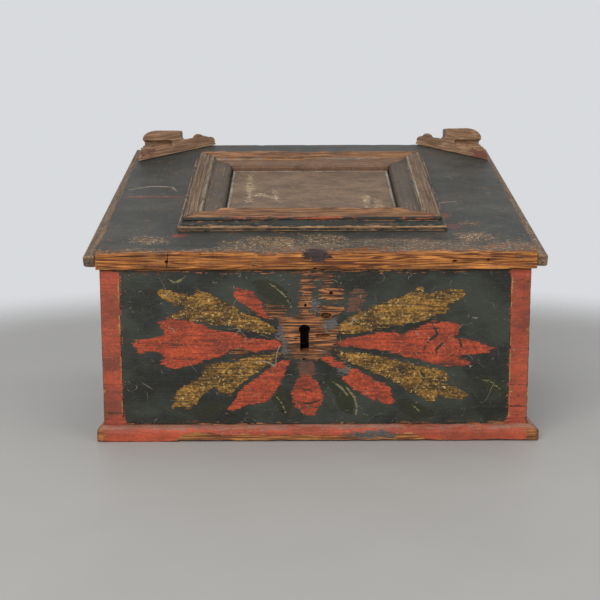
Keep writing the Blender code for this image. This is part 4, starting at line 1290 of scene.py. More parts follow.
PRIMER_BANDS = (
    Stroke(6, (-22, 8), (-22, -2), (-19, -12), (-16, -26)),
    Outline((18, 9), (31, 8), (31, 2), (20, 1)),
    Outline((14, -19), (22, -18), (22, -25), (15, -25)),
    Outline((31, -33), (42, -34), (41, -43), (31, -40)),
    Stroke(5, (10, 28), (10, 22), (10, 15)),
    Stroke(4, (-6, -48), (-6, -58)),
)
GREEN_LEAVES = (
    Stroke(16, (25, -46), (34, -58), (42, -78)),
    Stroke(14, (-33, -46), (-24, -62), (-14, -80)),
    Stroke(14, (86, -66), (104, -76), (118, -78)),
    Stroke(12, (160, -44), (176, -54), (184, -58)),
    Stroke(18, (-44, 44), (-30, 36), (-12, 24)),
    Stroke(12, (-72, -70), (-90, -76), (-104, -78)),
)
LEAF_LIGHTS = (
    Stroke(1.6, (26, -48), (34, -54), (40, -62)),
    Stroke(2.0, (38, -53), (46, -63), (48, -72), (47, -79)),
    Stroke(1.2, (-36, 46), (-27, 40), (-18, 32), (-14, 26)),
    Stroke(1.4, (98, -70), (106, -76)),
    Stroke(1.4, (160, -47), (170, -48), (180, -56)),
    Stroke(1.0, (-30, -56), (-20, -70), (-17, -78)),
    Stroke(1.0, (-126, 50), (-118, 44), (-112, 46), (-104, 52)),
)
PETAL_VEINS = (
    Stroke(2.2, (116, 6), (121, -4), (112, -12), (108, -20)),
    Stroke(2.4, (141, -8), (143, -16), (140, -22)),
    Stroke(2.0, (129, -10), (120, -18), (121, -25)),
    Stroke(1.5, (-10, -66), (2, -69), (14, -66)),
    Stroke(1.5, (-8, -52), (2, -56), (13, -53)),
    Stroke(1.6, (86, -32), (91, -38), (88, -44)),
    Stroke(1.8, (104, -36), (110, -44), (106, -52)),
    Stroke(1.4, (66, -27), (70, -32), (67, -38)),
    Stroke(1.2, (-56, 10), (-60, 16), (-58, 20)),
    Stroke(1.2, (-90, 16), (-86, 24)),
    Stroke(1.2, (-74, 14), (-68, 20), (-70, 25)),
)
BASE_PATCHES = (Outline((27, 3), (26, 8), (44, 9.5), (74, 8.5), (76, 4), (50, 2.4)),)
STRIP_CRACKS = (
    Stroke(1.5, (185, 44.5), (194, 45.2), (207, 44.4)),
    Stroke(1.0, (185, -71.0), (207, -71.6)),
    Stroke(1.0, (-187, -76.6), (-165, -77.2)),
)


@dataclass(frozen=True)
class Pit:
    """A nail hole, worm hole or broken spot."""

    spot: tuple[float, float, float]  # its middle, in its board's frame
    out: tuple[float, float, float]  # the way out of the wood
    radius: float  # its size
    depth: float  # how deep it goes
    stretch: float = 1.0  # how much longer it is along its board's first axis

    SIDES = 14

    def mesh(self) -> tuple[Array, list]:
        """The closed shape that is cut away.

        Returns:
            Its points and faces.
        """
        out = Vector(self.out).normalized()
        turn = out.to_track_quat("Z", "Y").to_matrix()
        spot = Vector(self.spot)
        points = []
        rings = ((self.radius, 1.3), (0, 1), (-0.6 * self.depth, 0.75), (-self.depth, 0.3))
        for height, share in rings:
            for index in range(self.SIDES):
                angle = 2 * pi * index / self.SIDES
                round_out = np.array([[cos(angle), sin(angle), spot.x * 40 + spot.z * 70]])
                reach = self.radius * share * (1 + 0.25 * CHIPS.at(round_out, 1.7)[0])
                offset = turn @ Vector((cos(angle) * reach, sin(angle) * reach, height))
                offset.x *= self.stretch
                points.append(spot + offset)
        return np.array(points), tube(len(rings), self.SIDES)


@dataclass(frozen=True)
class Gash:
    """A crack along a line, narrow and pointed at both ends."""

    path: tuple[tuple[float, float, float], ...]  # points on its line, in its board's frame
    out: tuple[float, float, float]  # the way out of the wood
    width: float  # its greatest width
    depth: float  # its greatest depth

    CELL = 2.5 * MM
    WANDER = 0.5 * MM

    def mesh(self) -> tuple[Array, list]:
        """The closed shape that is cut away.

        Returns:
            Its points and faces.
        """
        line = np.array(self.path, float)
        legs = np.linalg.norm(np.diff(line, axis=0), axis=1)
        marks = np.concatenate([[0], np.cumsum(legs)])
        count = max(4, ceil(marks[-1] / self.CELL))
        places = np.linspace(0, marks[-1], count + 1)
        spine = np.stack([np.interp(places, marks, line[:, k]) for k in range(3)], axis=1)
        out = np.array(self.out, float)
        side = np.cross(line[-1] - line[0], out)
        side /= np.linalg.norm(side)
        spine += side * (CHIPS.layered(spine, 180) * self.WANDER)[:, None]
        swell = np.sqrt(np.clip(np.sin(pi * np.linspace(0.04, 0.96, count + 1)), 0, 1))[:, None]
        half, over = side * self.width / 2 * swell, out * MM
        foot = spine - out * self.depth * swell
        points = np.stack([spine - half + over, spine + half + over, foot], axis=1)
        return points.reshape(-1, 3), tube(count + 1, 3)


def cut_away(made: Object, marks: Sequence[Pit | Gash]) -> None:
    """Cut pits and cracks into a piece.

    Args:
        made: the piece.
        marks: the pits and cracks.
    """
    for mark in marks:
        points, faces = mark.mesh()
        tool = new_object("tool", points, faces, made.matrix_world)
        shape = bmesh.new()
        shape.from_mesh(tool.data)
        bmesh.ops.recalc_face_normals(shape, faces=shape.faces)
        shape.to_mesh(tool.data)
        shape.free()
        carve(made, tool, "DIFFERENCE")


@dataclass
class WornBoard:
    """A board with rubbed arrises and dents, cut to fit by its CAD node."""

    node: str  # the CAD node that it stands for
    body: str  # the body that it rides on
    finish: WoodFinish  # its finish
    record_slot: str  # the record's material slot, which the script does not use
    cells: tuple[float, float, float]  # the mesh's spacing along each axis
    arris: float = 0.7 * MM  # radius of its arrises
    chips: float = 1.4 * MM  # how much more is gone where an arris is chipped
    dents: float = 0.16 * MM  # how deep its faces are dented
    wear_reach: float = 1.2 * MM  # how far wear comes in from an arris
    marks: tuple[Pit | Gash, ...] = ()  # pits and cracks

    PLACE: ClassVar[Matrix] = WORLD_PLACE
    CHIP_SCALE: ClassVar[float] = 55
    DENT_SCALE: ClassVar[float] = 45

    def corners(self) -> tuple[Array, Array]:
        """The lowest and highest corners of the board as a plain box."""
        return extents(self.node, self.PLACE)

    def bent(self, points: Array, way: int = 1) -> Array:
        """Points of the plain box taken to the board's own form, or with a way of -1 taken back."""
        return points

    def plain(self, points: Array) -> Array:
        """Points of the board, taken back to the plain box."""
        return self.bent(points, -1)

    def weathered(self, points: Array) -> Array:
        """Points of the board after what only this board has suffered."""
        return points

    def layers(self, points: Array) -> dict[str, Array]:
        """How far inside each of its painted areas each point lies, in millimetres."""
        return {}

    def hollows(self, points: Array) -> Array:
        """How much dirt has settled at each point."""
        return np.zeros(len(points))

    def fit(self, made: Object) -> None:
        """Cut the board to what its CAD node fills."""
        carve(made, node_copy(self.node), "INTERSECT")

    def build(self) -> Object:
        """Make the board, cut it, and keep what its finish needs to know.

        Returns:
            The finished piece.
        """
        low, high = self.corners()
        points, quads = grid_box([ruled(*span) for span in zip(low, high, self.cells)])
        bites = between(CHIPS.layered(points, self.CHIP_SCALE), 0.05, 0.6)
        points = self.bent(rounded(points, low, high, self.arris + self.chips * bites))
        made = new_object(f"worn_{self.node}", points, quads, self.PLACE)
        sink = SKIN + self.dents * (0.5 + 0.5 * DENTS.layered(points, self.DENT_SCALE))
        set_points(made, self.weathered(points - normals_of(made) * sink[:, None]))
        self.fit(made)
        cut_away(made, self.marks)
        points = points_of(made)
        store(made, "edge", nearness(self.plain(points), low, high, self.wear_reach))
        store(made, "hollow", self.hollows(points))
        return hand_over(made, self.body, (self.node,), self.finish, self.layers(points))


@dataclass
class Wall(WornBoard):
    """A wall of the case, whose top follows the lid's slope."""

    FRONT_TOP: ClassVar[float] = 0.158
    FACE_DEPTH: ClassVar[float] = 1.6 * MM

    def bent(self, points: Array, way: int = 1) -> Array:
        """Points with the box's level top sloped, or with a way of -1 made level.

        Args:
            points: points of the wall.
            way: 1 or -1.

        Returns:
            The moved points.
        """
        low, high = self.corners()
        top = self.FRONT_TOP + (points[:, 1] - FRONT_Y) * tan(LID_SLOPE)
        share = (top - low[2]) / (high[2] - low[2])
        return np.column_stack([points[:, :2], low[2] + (points[:, 2] - low[2]) * share**way])

    def outside(self, points: Array, axis: int, end: float) -> Array:
        """Whether each point lies on the wall's face at one end of an axis."""
        return np.abs(points[:, axis] - end) < self.FACE_DEPTH

    def front_spots(self, points: Array) -> Array:
        """Where each point lies as the front is faced, in millimetres from the keyhole."""
        return (points[:, (0, 2)] - (KEY_X, KEY_Z)) / MM

    def layers(self, points: Array) -> dict[str, Array]:
        """The dark ground on the outer face, and red on the ends that show in front.

        Args:
            points: the board's points, in its own frame.

        Returns:
            How far inside each painted area each point lies, in millimetres.
        """
        low, high = self.corners()
        back = self.node == "back_board"
        end = high[1] if back else max((low[0], high[0]), key=abs)
        full = np.full(len(points), WELL_INSIDE)
        paint = masked(self.outside(points, int(back), end), {"ground": full})
        cracks = layer(self.front_spots(points), STRIP_CRACKS)
        return paint | masked(self.outside(points, 1, FRONT_Y), {"strip": full, "vein": cracks})


@dataclass
class SideWall(Wall):
    """A side of the case, cut round the dovetails of the front and the back."""

    def fit(self, made: Object) -> None:
        """Cut away what the front and the back fill."""
        for node in ("front_board", "back_board"):
            carve(made, node_copy(node), "DIFFERENCE")


@dataclass
class FrontBoard(Wall):
    """The front, with its painted petals round the keyhole."""

    strip_from: float = 0.1770  # how far from the middle the red strips at its ends start
    strip_flare: float = 6.5 * MM  # how much wider they are at the foot
    flare_h: float = 5 * MM  # how high that reaches
    bare_top: float = 2.2  # how far the paint has gone under its top edge, in millimetres
    bare_foot: float = 2.6  # the same over its foot
    clean_from: float = 6  # how far behind the face its wood is clean, in millimetres

    def layers(self, points: Array) -> dict[str, Array]:
        """The ground and each colour of the petals, on the outer face only.

        Args:
            points: the board's points, in its own frame.

        Returns:
            How far inside each painted area each point lies, in millimetres.
        """
        low, high = self.corners()
        spots = self.front_spots(points)
        bare = layer(spots, BARE_PATCHES)
        flare = self.strip_flare * np.exp(-(points[:, 2] - low[2]) / self.flare_h)
        height = self.plain(points)[:, 2]
        worn = np.minimum((high[2] - height) / MM - self.bare_top, (height - low[2]) / MM - self.bare_foot)
        shapes = {
            "ground": np.minimum(np.minimum(WELL_INSIDE, -bare), worn),
            "primer": layer(spots, PRIMER_BANDS),
            "strip": (np.abs(points[:, 0]) - self.strip_from + flare) / MM,
            "faded": np.minimum(layer(spots, FADED_PETALS), -bare),
            "red": np.minimum(layer(spots, RED_PETALS), -bare),
            "ochre": np.minimum(layer(spots, OCHRE_PETALS), -bare),
            "leaf": np.minimum(layer(spots, GREEN_LEAVES), -layer(spots, RED_PETALS + OCHRE_PETALS)),
            "light": layer(spots, LEAF_LIGHTS),
            "vein": layer(spots, PETAL_VEINS + STRIP_CRACKS),
        }
        clean = (points[:, 1] - FRONT_Y) / MM - self.clean_from
        return masked(self.outside(points, 1, FRONT_Y), shapes) | {"clean": clean}


@dataclass
class LidBoard(WornBoard):
    """The lid's board, plumb at its front and back, with its raw and broken front edge."""

    groove_depth: float = 1.3 * MM  # how deep the front edge is raked along its grain
    groove_reach: float = 3 * MM  # how far back that is felt
    chip_in: float = 0.7 * MM  # how deep it is chipped
    chip_drop: float = 1.6 * MM  # how much its top arris has lost by chips
    rake_drop: float = 0.5 * MM  # how much it has lost by raking
    arris_reach: tuple[float, float] = (2 * MM, 4 * MM)  # how far that is felt down and back
    burn_x: float = 0.0005  # the middle of the burnt patch
    burn_r: float = 8.4 * MM  # its radius
    burn_uneven: float = 3 * MM  # how uneven its rim is
    burn_depth: float = 2.8 * MM  # how far the edge is burnt in
    burn_drop: float = 1.2 * MM  # how far the top is burnt down
    split_x: float = -0.133  # where the piece split off on the left ends
    split_drop: float = 1.3 * MM  # how much lower that lies
    top_t: tuple[float, float] = (0.6 * MM, 2.4 * MM)  # least and most depth that still counts as the top
    dirt: float = 0.8  # how much dirt the raked grain holds
    dirt_reach: float = 4 * MM  # how far back that is felt
    patchy: float = 9  # how far the paint's limits wander, in millimetres
    ground_from: tuple[float, float] = (4, 14)  # where the ground starts, and where it does when rubbed
    rubbed_to: tuple[float, float] = (10, 28)  # how far back the wood is rubbed, at the left and elsewhere
    bare_edge: float = 2.6  # how far the top is bare along its front, in millimetres
    # Between which places the rubbed strip along the front begins
    rubbed_from: tuple[float, float] = (-0.095, -0.045)

    PLACE: ClassVar[Matrix] = LID_PLACE

    def corners(self) -> tuple[Array, Array]:
        """The lowest and highest corners of the board as a plain box.

        Returns:
            The two corners, in the lid's frame.
        """
        low, high = extents(self.node, self.PLACE)
        low[1] -= low[2] * tan(LID_SLOPE)
        high[1] -= high[2] * tan(LID_SLOPE)
        return low, high

    def bent(self, points: Array, way: int = 1) -> Array:
        """Points leant so that the box's ends are plumb, or with a way of -1 stood square."""
        lean = way * points[:, 2] * tan(LID_SLOPE)
        return np.column_stack([points[:, 0], points[:, 1] + lean, points[:, 2]])

    def inward(self, square: Array) -> tuple[Array, Array]:
        """How far each point lies behind the front edge, and how far under the top."""
        low, high = self.corners()
        return np.clip(square[:, 1] - low[1], 0, None), np.clip(high[2] - square[:, 2], 0, None)

    def raked(self, square: Array) -> Array:
        """How deep the weather has raked the grain at each point, from 0 to 1.

        Args:
            square: points of the plain box.

        Returns:
            One value for each point.
        """
        broad = between(FIBRES.layered(square, (7, 40, 330), 3), -0.2, 0.45)
        fine = between(CHIPS.layered(square, (15, 60, 760), 2), -0.1, 0.5)
        return 0.7 * broad + 0.3 * fine

    def burnt(self, square: Array) -> Array:
        """How far inside the burnt patch each point lies, in metres.

        Args:
            square: points of the plain box.

        Returns:
            One value for each point, negative outside.
        """
        behind, under = self.inward(square)
        apart = np.hypot((square[:, 0] - self.burn_x) * 0.75, np.hypot(behind, under))
        return self.burn_r - apart + self.burn_uneven * CHIPS.layered(square, 150)

    def weathered(self, points: Array) -> Array:
        """The front edge raked along its grain, chipped on top, split, and burnt away near its middle.

        Args:
            points: the board's points.

        Returns:
            The moved points.
        """
        square = self.plain(points)
        behind, under = self.inward(square)
        rake = self.raked(square)
        chip = between(CHIPS.layered(square, (45, 70, 70), 3), 0.0, 0.5)
        hole = between(self.burnt(square), 0, 0.7 * self.burn_r)
        drawn_in = np.exp(-behind / self.groove_reach) * (self.groove_depth * rake + self.chip_in * chip)
        down, back = self.arris_reach
        arris = np.exp(-under / down) * np.exp(-behind / back)
        broken = between(-square[:, 0], -self.split_x, -self.split_x + 0.8 * MM)
        drop = arris * (self.chip_drop * chip + self.rake_drop * rake + self.split_drop * broken)
        shifted = points.copy()
        shifted[:, 1] += drawn_in + hole * self.burn_depth
        shifted[:, 2] -= drop + hole * self.burn_drop
        return shifted

    def hollows(self, points: Array) -> Array:
        """Dirt in the grooves of the front edge."""
        square = self.plain(points)
        return self.raked(square) ** 2 * np.exp(-self.inward(square)[0] / self.dirt_reach) * self.dirt

    def layers(self, points: Array) -> dict[str, Array]:
        """What is left of the paint on the top, and where it is rubbed, scuffed, scratched and burnt.

        Args:
            points: the board's points, in its own frame.

        Returns:
            How far inside each painted area each point lies, in millimetres.
        """
        square = self.plain(points)
        behind, under = self.inward(square)
        top = under < np.clip(behind, *self.top_t)
        front = behind / MM
        spots = np.column_stack([square[:, 0] / MM, front])
        broad = self.patchy * DENTS.layered(square, (14, 40, 40))
        rubbed = between(square[:, 0], *self.rubbed_from)
        start, end = (np.interp(rubbed, (0, 1), limits) for limits in (self.ground_from, self.rubbed_to))
        ground = front - start + broad * (0.3 + 0.7 * rubbed)
        shapes = {
            "ground": np.clip(ground, -WELL_INSIDE, WELL_INSIDE),
            "rubbed": np.minimum(front - self.bare_edge, end + broad - front),
            "scuff": layer(spots, LID_SCUFFS),
            "red": layer(spots, LID_TRACES),
            "light": layer(spots, LID_SCRATCHES),
        }
        low, high = self.corners()
        clean = (under - (high[2] - low[2])) / MM + 0.8
        return masked(top, shapes) | {"clean": clean, "burn": self.burnt(square) / MM}


def on_lid_edge(x: float, up: float) -> tuple[float, float, float]:
    """A spot on the lid's plumb front edge, so far over its underside."""
    height = LID_UNDERSIDE + up
    return x, LID_FRONT + height * tan(LID_SLOPE), height


LID_UNDERSIDE = 3.9 * MM
LID_TOP = 18.9 * MM
LID_FRONT = -0.3244
LID_EDGE_OUT = (0.0, -cos(LID_SLOPE), sin(LID_SLOPE))
SPLIT_PATH = ((-0.192, -0.1752, LID_TOP), (-0.165, -0.1740, LID_TOP), (-0.1312, -0.1750, LID_TOP))
LID_MARKS = (
    Gash(SPLIT_PATH, (0, 0, 1), 1 * MM, 4 * MM),
    Gash((on_lid_edge(-0.1335, 1 * MM), on_lid_edge(-0.1325, 14.5 * MM)), LID_EDGE_OUT, 1.2 * MM, 3 * MM),
    Pit(on_lid_edge(-0.1335, 7 * MM), LID_EDGE_OUT, 1.5 * MM, 5 * MM),
    Pit(on_lid_edge(0.125, 7 * MM), LID_EDGE_OUT, 1.3 * MM, 4 * MM, 1.7),
    Pit(on_lid_edge(0.155, 8 * MM), LID_EDGE_OUT, 1.1 * MM, 4 * MM),
    Pit(on_lid_edge(-0.0004, 0.5 * MM), LID_EDGE_OUT, 1.6 * MM, 3 * MM, 1.5),
)
LID_SCUFFS = (
    Outline((-95, 20), (-60, 36), (-20, 42), (20, 40), (44, 30), (20, 20), (-40, 14)),
    Outline((130, 44), (160, 46), (172, 32), (150, 24), (132, 30)),
    Outline((140, 76), (160, 74), (156, 62), (138, 64)),
    Outline((-168, 36), (-140, 35), (-130, 28), (-148, 22), (-170, 27)),
)
LID_TRACES = (
    Outline((-131, 44), (-121, 44), (-119, 38), (-132, 38)),
    Stroke(3, (-190, 145), (-160, 146), (-132, 145)),
    Outline((126, 70), (139, 67), (139, 55), (126, 56)),
    Outline((120, 98), (131, 98), (131, 84), (120, 84)),
    Outline((118, 128), (126, 128), (126, 116), (118, 116)),
)
LID_SCRATCHES = (
    Stroke(3.0, (-193, 166), (-182, 173), (-170, 177), (-158, 177), (-147, 174), (-141, 161)),
    Stroke(1.4, (-192, 147), (-160, 147), (-132, 146)),
    Stroke(2.0, (120, 120), (132, 128), (150, 130)),
)


@dataclass
class LidPanel(WornBoard):
    """The thin panel inside the lid's frame."""

    highlight_rim_w: float = 2.6  # width of the painted highlight along the frame, in millimetres
    top_t: float = 0.6 * MM  # how far under its top a point still counts as on it

    PLACE: ClassVar[Matrix] = LID_PLACE

    def layers(self, points: Array) -> dict[str, Array]:
        """A film of old paint, a painted highlight along the frame, scratches and dark rubs on its top.

        Args:
            points: the board's points, in its own frame.

        Returns:
            How far inside each painted area each point lies, in millimetres.
        """
        low, high = self.corners()
        spots = points[:, :2] / MM
        marks = {"light": layer(spots, PANEL_SCRATCHES), "vein": layer(spots, PANEL_RUBS)}
        inside = np.minimum(points - low, high - points)[:, :2].min(axis=1) / MM
        # rim: the painted highlight along the frame
        film = {"film": np.full(len(points), WELL_INSIDE), "rim": self.highlight_rim_w - inside}
        return film | masked(points[:, 2] > high[2] - self.top_t, marks)


PANEL_SCRATCHES = (
    Stroke(4.6, (-67, -113), (-66, -150), (-64, -197)),
    Stroke(9.0, (-60, -172), (-50, -178), (-42, -184)),
    Stroke(4.2, (-40, -160), (-37, -192)),
    Stroke(4.4, (53, -176), (53, -218)),
    Stroke(7.0, (64, -190), (64, -218)),
)
PANEL_RUBS = (
    Stroke(2.2, (47, -135), (66, -135)),
    Stroke(1.6, (25, -207), (42, -206)),
    Stroke(1.4, (33, -178), (48, -177)),
)


@dataclass
class LidStrip(WornBoard):
    """The narrow strip nailed over an end of the lid."""

    taper: float = 4 * MM  # how much narrower it is at the back

    PLACE: ClassVar[Matrix] = LID_PLACE

    def bent(self, points: Array, way: int = 1) -> Array:
        """Points narrowed towards the back, or with a way of -1 as wide there as in front.

        Args:
            points: points of the strip.
            way: 1 or -1.

        Returns:
            The moved points.
        """
        low, high = self.corners()
        inner = min((low[0], high[0]), key=abs)
        share = 1 - self.taper / (high[0] - low[0]) * (points[:, 1] - low[1]) / (high[1] - low[1])
        return np.column_stack([inner + (points[:, 0] - inner) * share**way, points[:, 1:]])

    def layers(self, points: Array) -> dict[str, Array]:
        """What is left of a grey film on its top."""
        return {"rubbed": np.full(len(points), WELL_INSIDE)}


@dataclass
class Moulding:
    """A run of moulding, swept along its length and worn."""

    node: str  # the CAD node that it stands for
    length: float  # its length along its outer edge
    spot: tuple[float, float, float]  # the middle of its outer edge
    turn: float  # how far it is turned about its upright
    mitres: tuple[bool, bool]  # whether each end is mitred

    def place(self) -> Matrix:
        """Where it stands in its own sub-assembly."""
        return Matrix.Translation(self.spot) @ Matrix.Rotation(self.turn, 4, "Z")


@dataclass
class BaseMouldings:
    """The three mitred mouldings round the case's foot."""

    proud: float = 8.3 * MM  # how far they stand out from the walls
    height: float = 14.2 * MM  # their height
    fillet: float = 5.8 * MM  # height of the upright part
    top_flat: float = 1.2 * MM  # width of the flat on top
    gap: float = JOINT  # the gap to the walls
    outline_cell: float = 0.6 * MM  # the mesh's spacing round their section
    cell: float = 1.3 * MM  # the mesh's spacing along them
    fibre_rise: float = 0.35 * MM  # how far the grain stands out
    build_up: float = 0.9 * MM  # how far old paint has built up along their arrises
    arris_reach: float = 1.5 * MM  # how far from an arris it has
    bend_gain: float = -7  # how strongly a bend counts, below 0 with hollows rubbed and arrises dark
    lost_from: float = -0.128  # where the splinter starts that is missing along the bottom
    lost_ramp: float = 3 * MM  # over which length it starts
    lost: float = 2.0 * MM  # how high it reached
    lost_in: float = 5 * MM  # how far in it reached
    bare_span: tuple[float, float] = (-0.136, 0.104)  # where the front's lower part has lost its paint
    bare_ramp: float = 0.02  # over which length that begins and ends
    bare_h: float = 7.5  # how high that reaches, in millimetres
    bare_side_h: float = 1.0  # the same for the side runs
    faded_and_lit_from: float = 11.5  # over which height their tops are paler, as faded paint and a painted highlight, in millimetres
    corner_r: float = 5 * MM  # radius of the rubbed front corners
    corner_wear: float = 16  # how far the paint has drawn back there, in millimetres
    corner_reach: float = 6 * MM  # how far from a corner the paint is rubbed
    left_share: float = 0.70  # how far the left run stands out, as a share of the front one
    right_share: float = 1.22  # the same for the right run

    def profile(self) -> Array:
        """The section: depth in from the outer edge, and height.

        Returns:
            The points of its closed outline.
        """
        depth = self.proud - self.gap
        across, rise = depth - self.top_flat, self.height - self.fillet
        curve = [(across + across * c, self.fillet + rise * s) for c, s in arc((0, 0), 1, 180, 90)]
        return np.array([(depth, 0), (0, 0), *curve, (depth, self.height)])

    def mouldings(self) -> tuple[Moulding, ...]:
        """The three runs.

        Returns:
            The front, left and right run.
        """
        edge_x, edge_y = HALF_W + self.proud, FRONT_Y - self.proud
        run, middle = BACK_Y - edge_y, (BACK_Y + edge_y) / 2
        return (
            Moulding("base_moulding_front", 2 * edge_x, (0, edge_y, 0), 0, (True, True)),
            Moulding("base_moulding_left", run, (-edge_x, middle, 0), -pi / 2, (False, True)),
            Moulding("base_moulding_right", run, (edge_x, middle, 0), pi / 2, (True, False)),
        )

    def build(self) -> None:
        """Make and dress the three runs."""
        outline = smoothed(resampled(self.profile(), self.outline_cell), 2)
        for moulding in self.mouldings():
            points, faces = swept(outline, moulding.length, self.cell, moulding.mitres)
            made = new_object(f"worn_{moulding.node}", points, faces)
            seen = points + len(moulding.node) * 0.31
            fibre = between(FIBRES.layered(seen, (14, 240, 240)), -0.2, 0.5)
            crust = between(CHIPS.layered(seen, (55, 90, 90)), 0.05, 0.6)
            reach = np.minimum(np.abs(points[:, 2] - self.fillet), np.abs(points[:, 2] - self.height))
            proud = np.exp(-reach / self.arris_reach) * (points[:, 1] < self.proud - 2 * MM)
            rise = SKIN + self.fibre_rise * fibre + self.build_up * crust * proud
            points = points + normals_of(made) * rise[:, None]
            points[:, 1] = np.clip(points[:, 1], 0, self.proud - self.gap)
            points[:, 2] = np.maximum(points[:, 2], 0)
            front = moulding.turn == 0
            if front:
                torn = between(points[:, 0], self.lost_from, self.lost_from + self.lost_ramp)
                torn *= self.lost * (0.8 + 0.5 * CHIPS.layered(points, (60, 0, 0)))
                points[:, 2] = np.maximum(points[:, 2], np.where(points[:, 1] < self.lost_in, torn, 0))
            placed, corner = self.rubbed_corner(moved(points, moulding.place()))
            set_points(made, self.spread(placed))
            store_bends(made, self.bend_gain)
            layers = self.layers(points, corner, front)
            hand_over(made, "case", (moulding.node,), PAINTED_BASE, layers, seen)

    def spread(self, points: Array) -> Array:
        """Let the left run stand out less than the front one, and the right run more.

        Args:
            points: points of a run, in the world's frame.

        Returns:
            The moved points.
        """
        across = np.abs(points[:, 0])
        share = np.where(points[:, 0] < 0, self.left_share, self.right_share)
        wide = np.minimum(across, HALF_W) + np.maximum(across - HALF_W, 0) * share
        return np.column_stack([wide * np.sign(points[:, 0]), points[:, 1:]])

    def rubbed_corner(self, points: Array) -> tuple[Array, Array]:
        """Round the two front corners.

        Args:
            points: points of a run, in the world's frame.

        Returns:
            The moved points, and how near each lies to a corner, from 0 to 1.
        """
        corner = np.array([HALF_W + self.proud, self.proud - FRONT_Y])
        sign = np.column_stack([np.sign(points[:, 0]), -np.ones(len(points))])
        flat = points[:, :2] * sign
        out = np.clip(flat - corner + self.corner_r, 0, None)
        length = np.maximum(np.linalg.norm(out, axis=1), TINY)
        inner = flat - out
        held = out * np.minimum(1, self.corner_r / length)[:, None]
        near = np.exp(-np.linalg.norm(corner - flat, axis=1) / self.corner_reach)
        return np.column_stack([(inner + held) * sign, points[:, 2]]), near

    def layers(self, points: Array, corner: Array, front: bool) -> dict[str, Array]:
        """Where each run's paint is left.

        Args:
            points: its points, in its own frame.
            corner: how near each lies to a front corner.
            front: whether it is the front run.

        Returns:
            How far inside each coat each point lies, in millimetres.
        """
        along, depth, height = points[:, 0], points[:, 1], points[:, 2] / MM
        start, end = self.bare_span
        bare = self.bare_h * between(along, start, start + self.bare_ramp)
        bare *= between(-along, -end, self.bare_ramp - end)
        bare += 2 * DENTS.layered(points, (40, 0, 0))
        bare = bare if front else np.full(len(points), self.bare_side_h)
        red = np.clip(height - bare, FAR_OUTSIDE, 3.0) - self.corner_wear * corner
        # faded: the paler top curve, faded paint and partly a painted highlight
        shapes = {"red": red, "faded": height - self.faded_and_lit_from}
        if front:
            shapes["primer"] = layer(np.column_stack([along / MM, height]), BASE_PATCHES)
        return masked(depth < self.proud - 1.0 * MM, shapes)


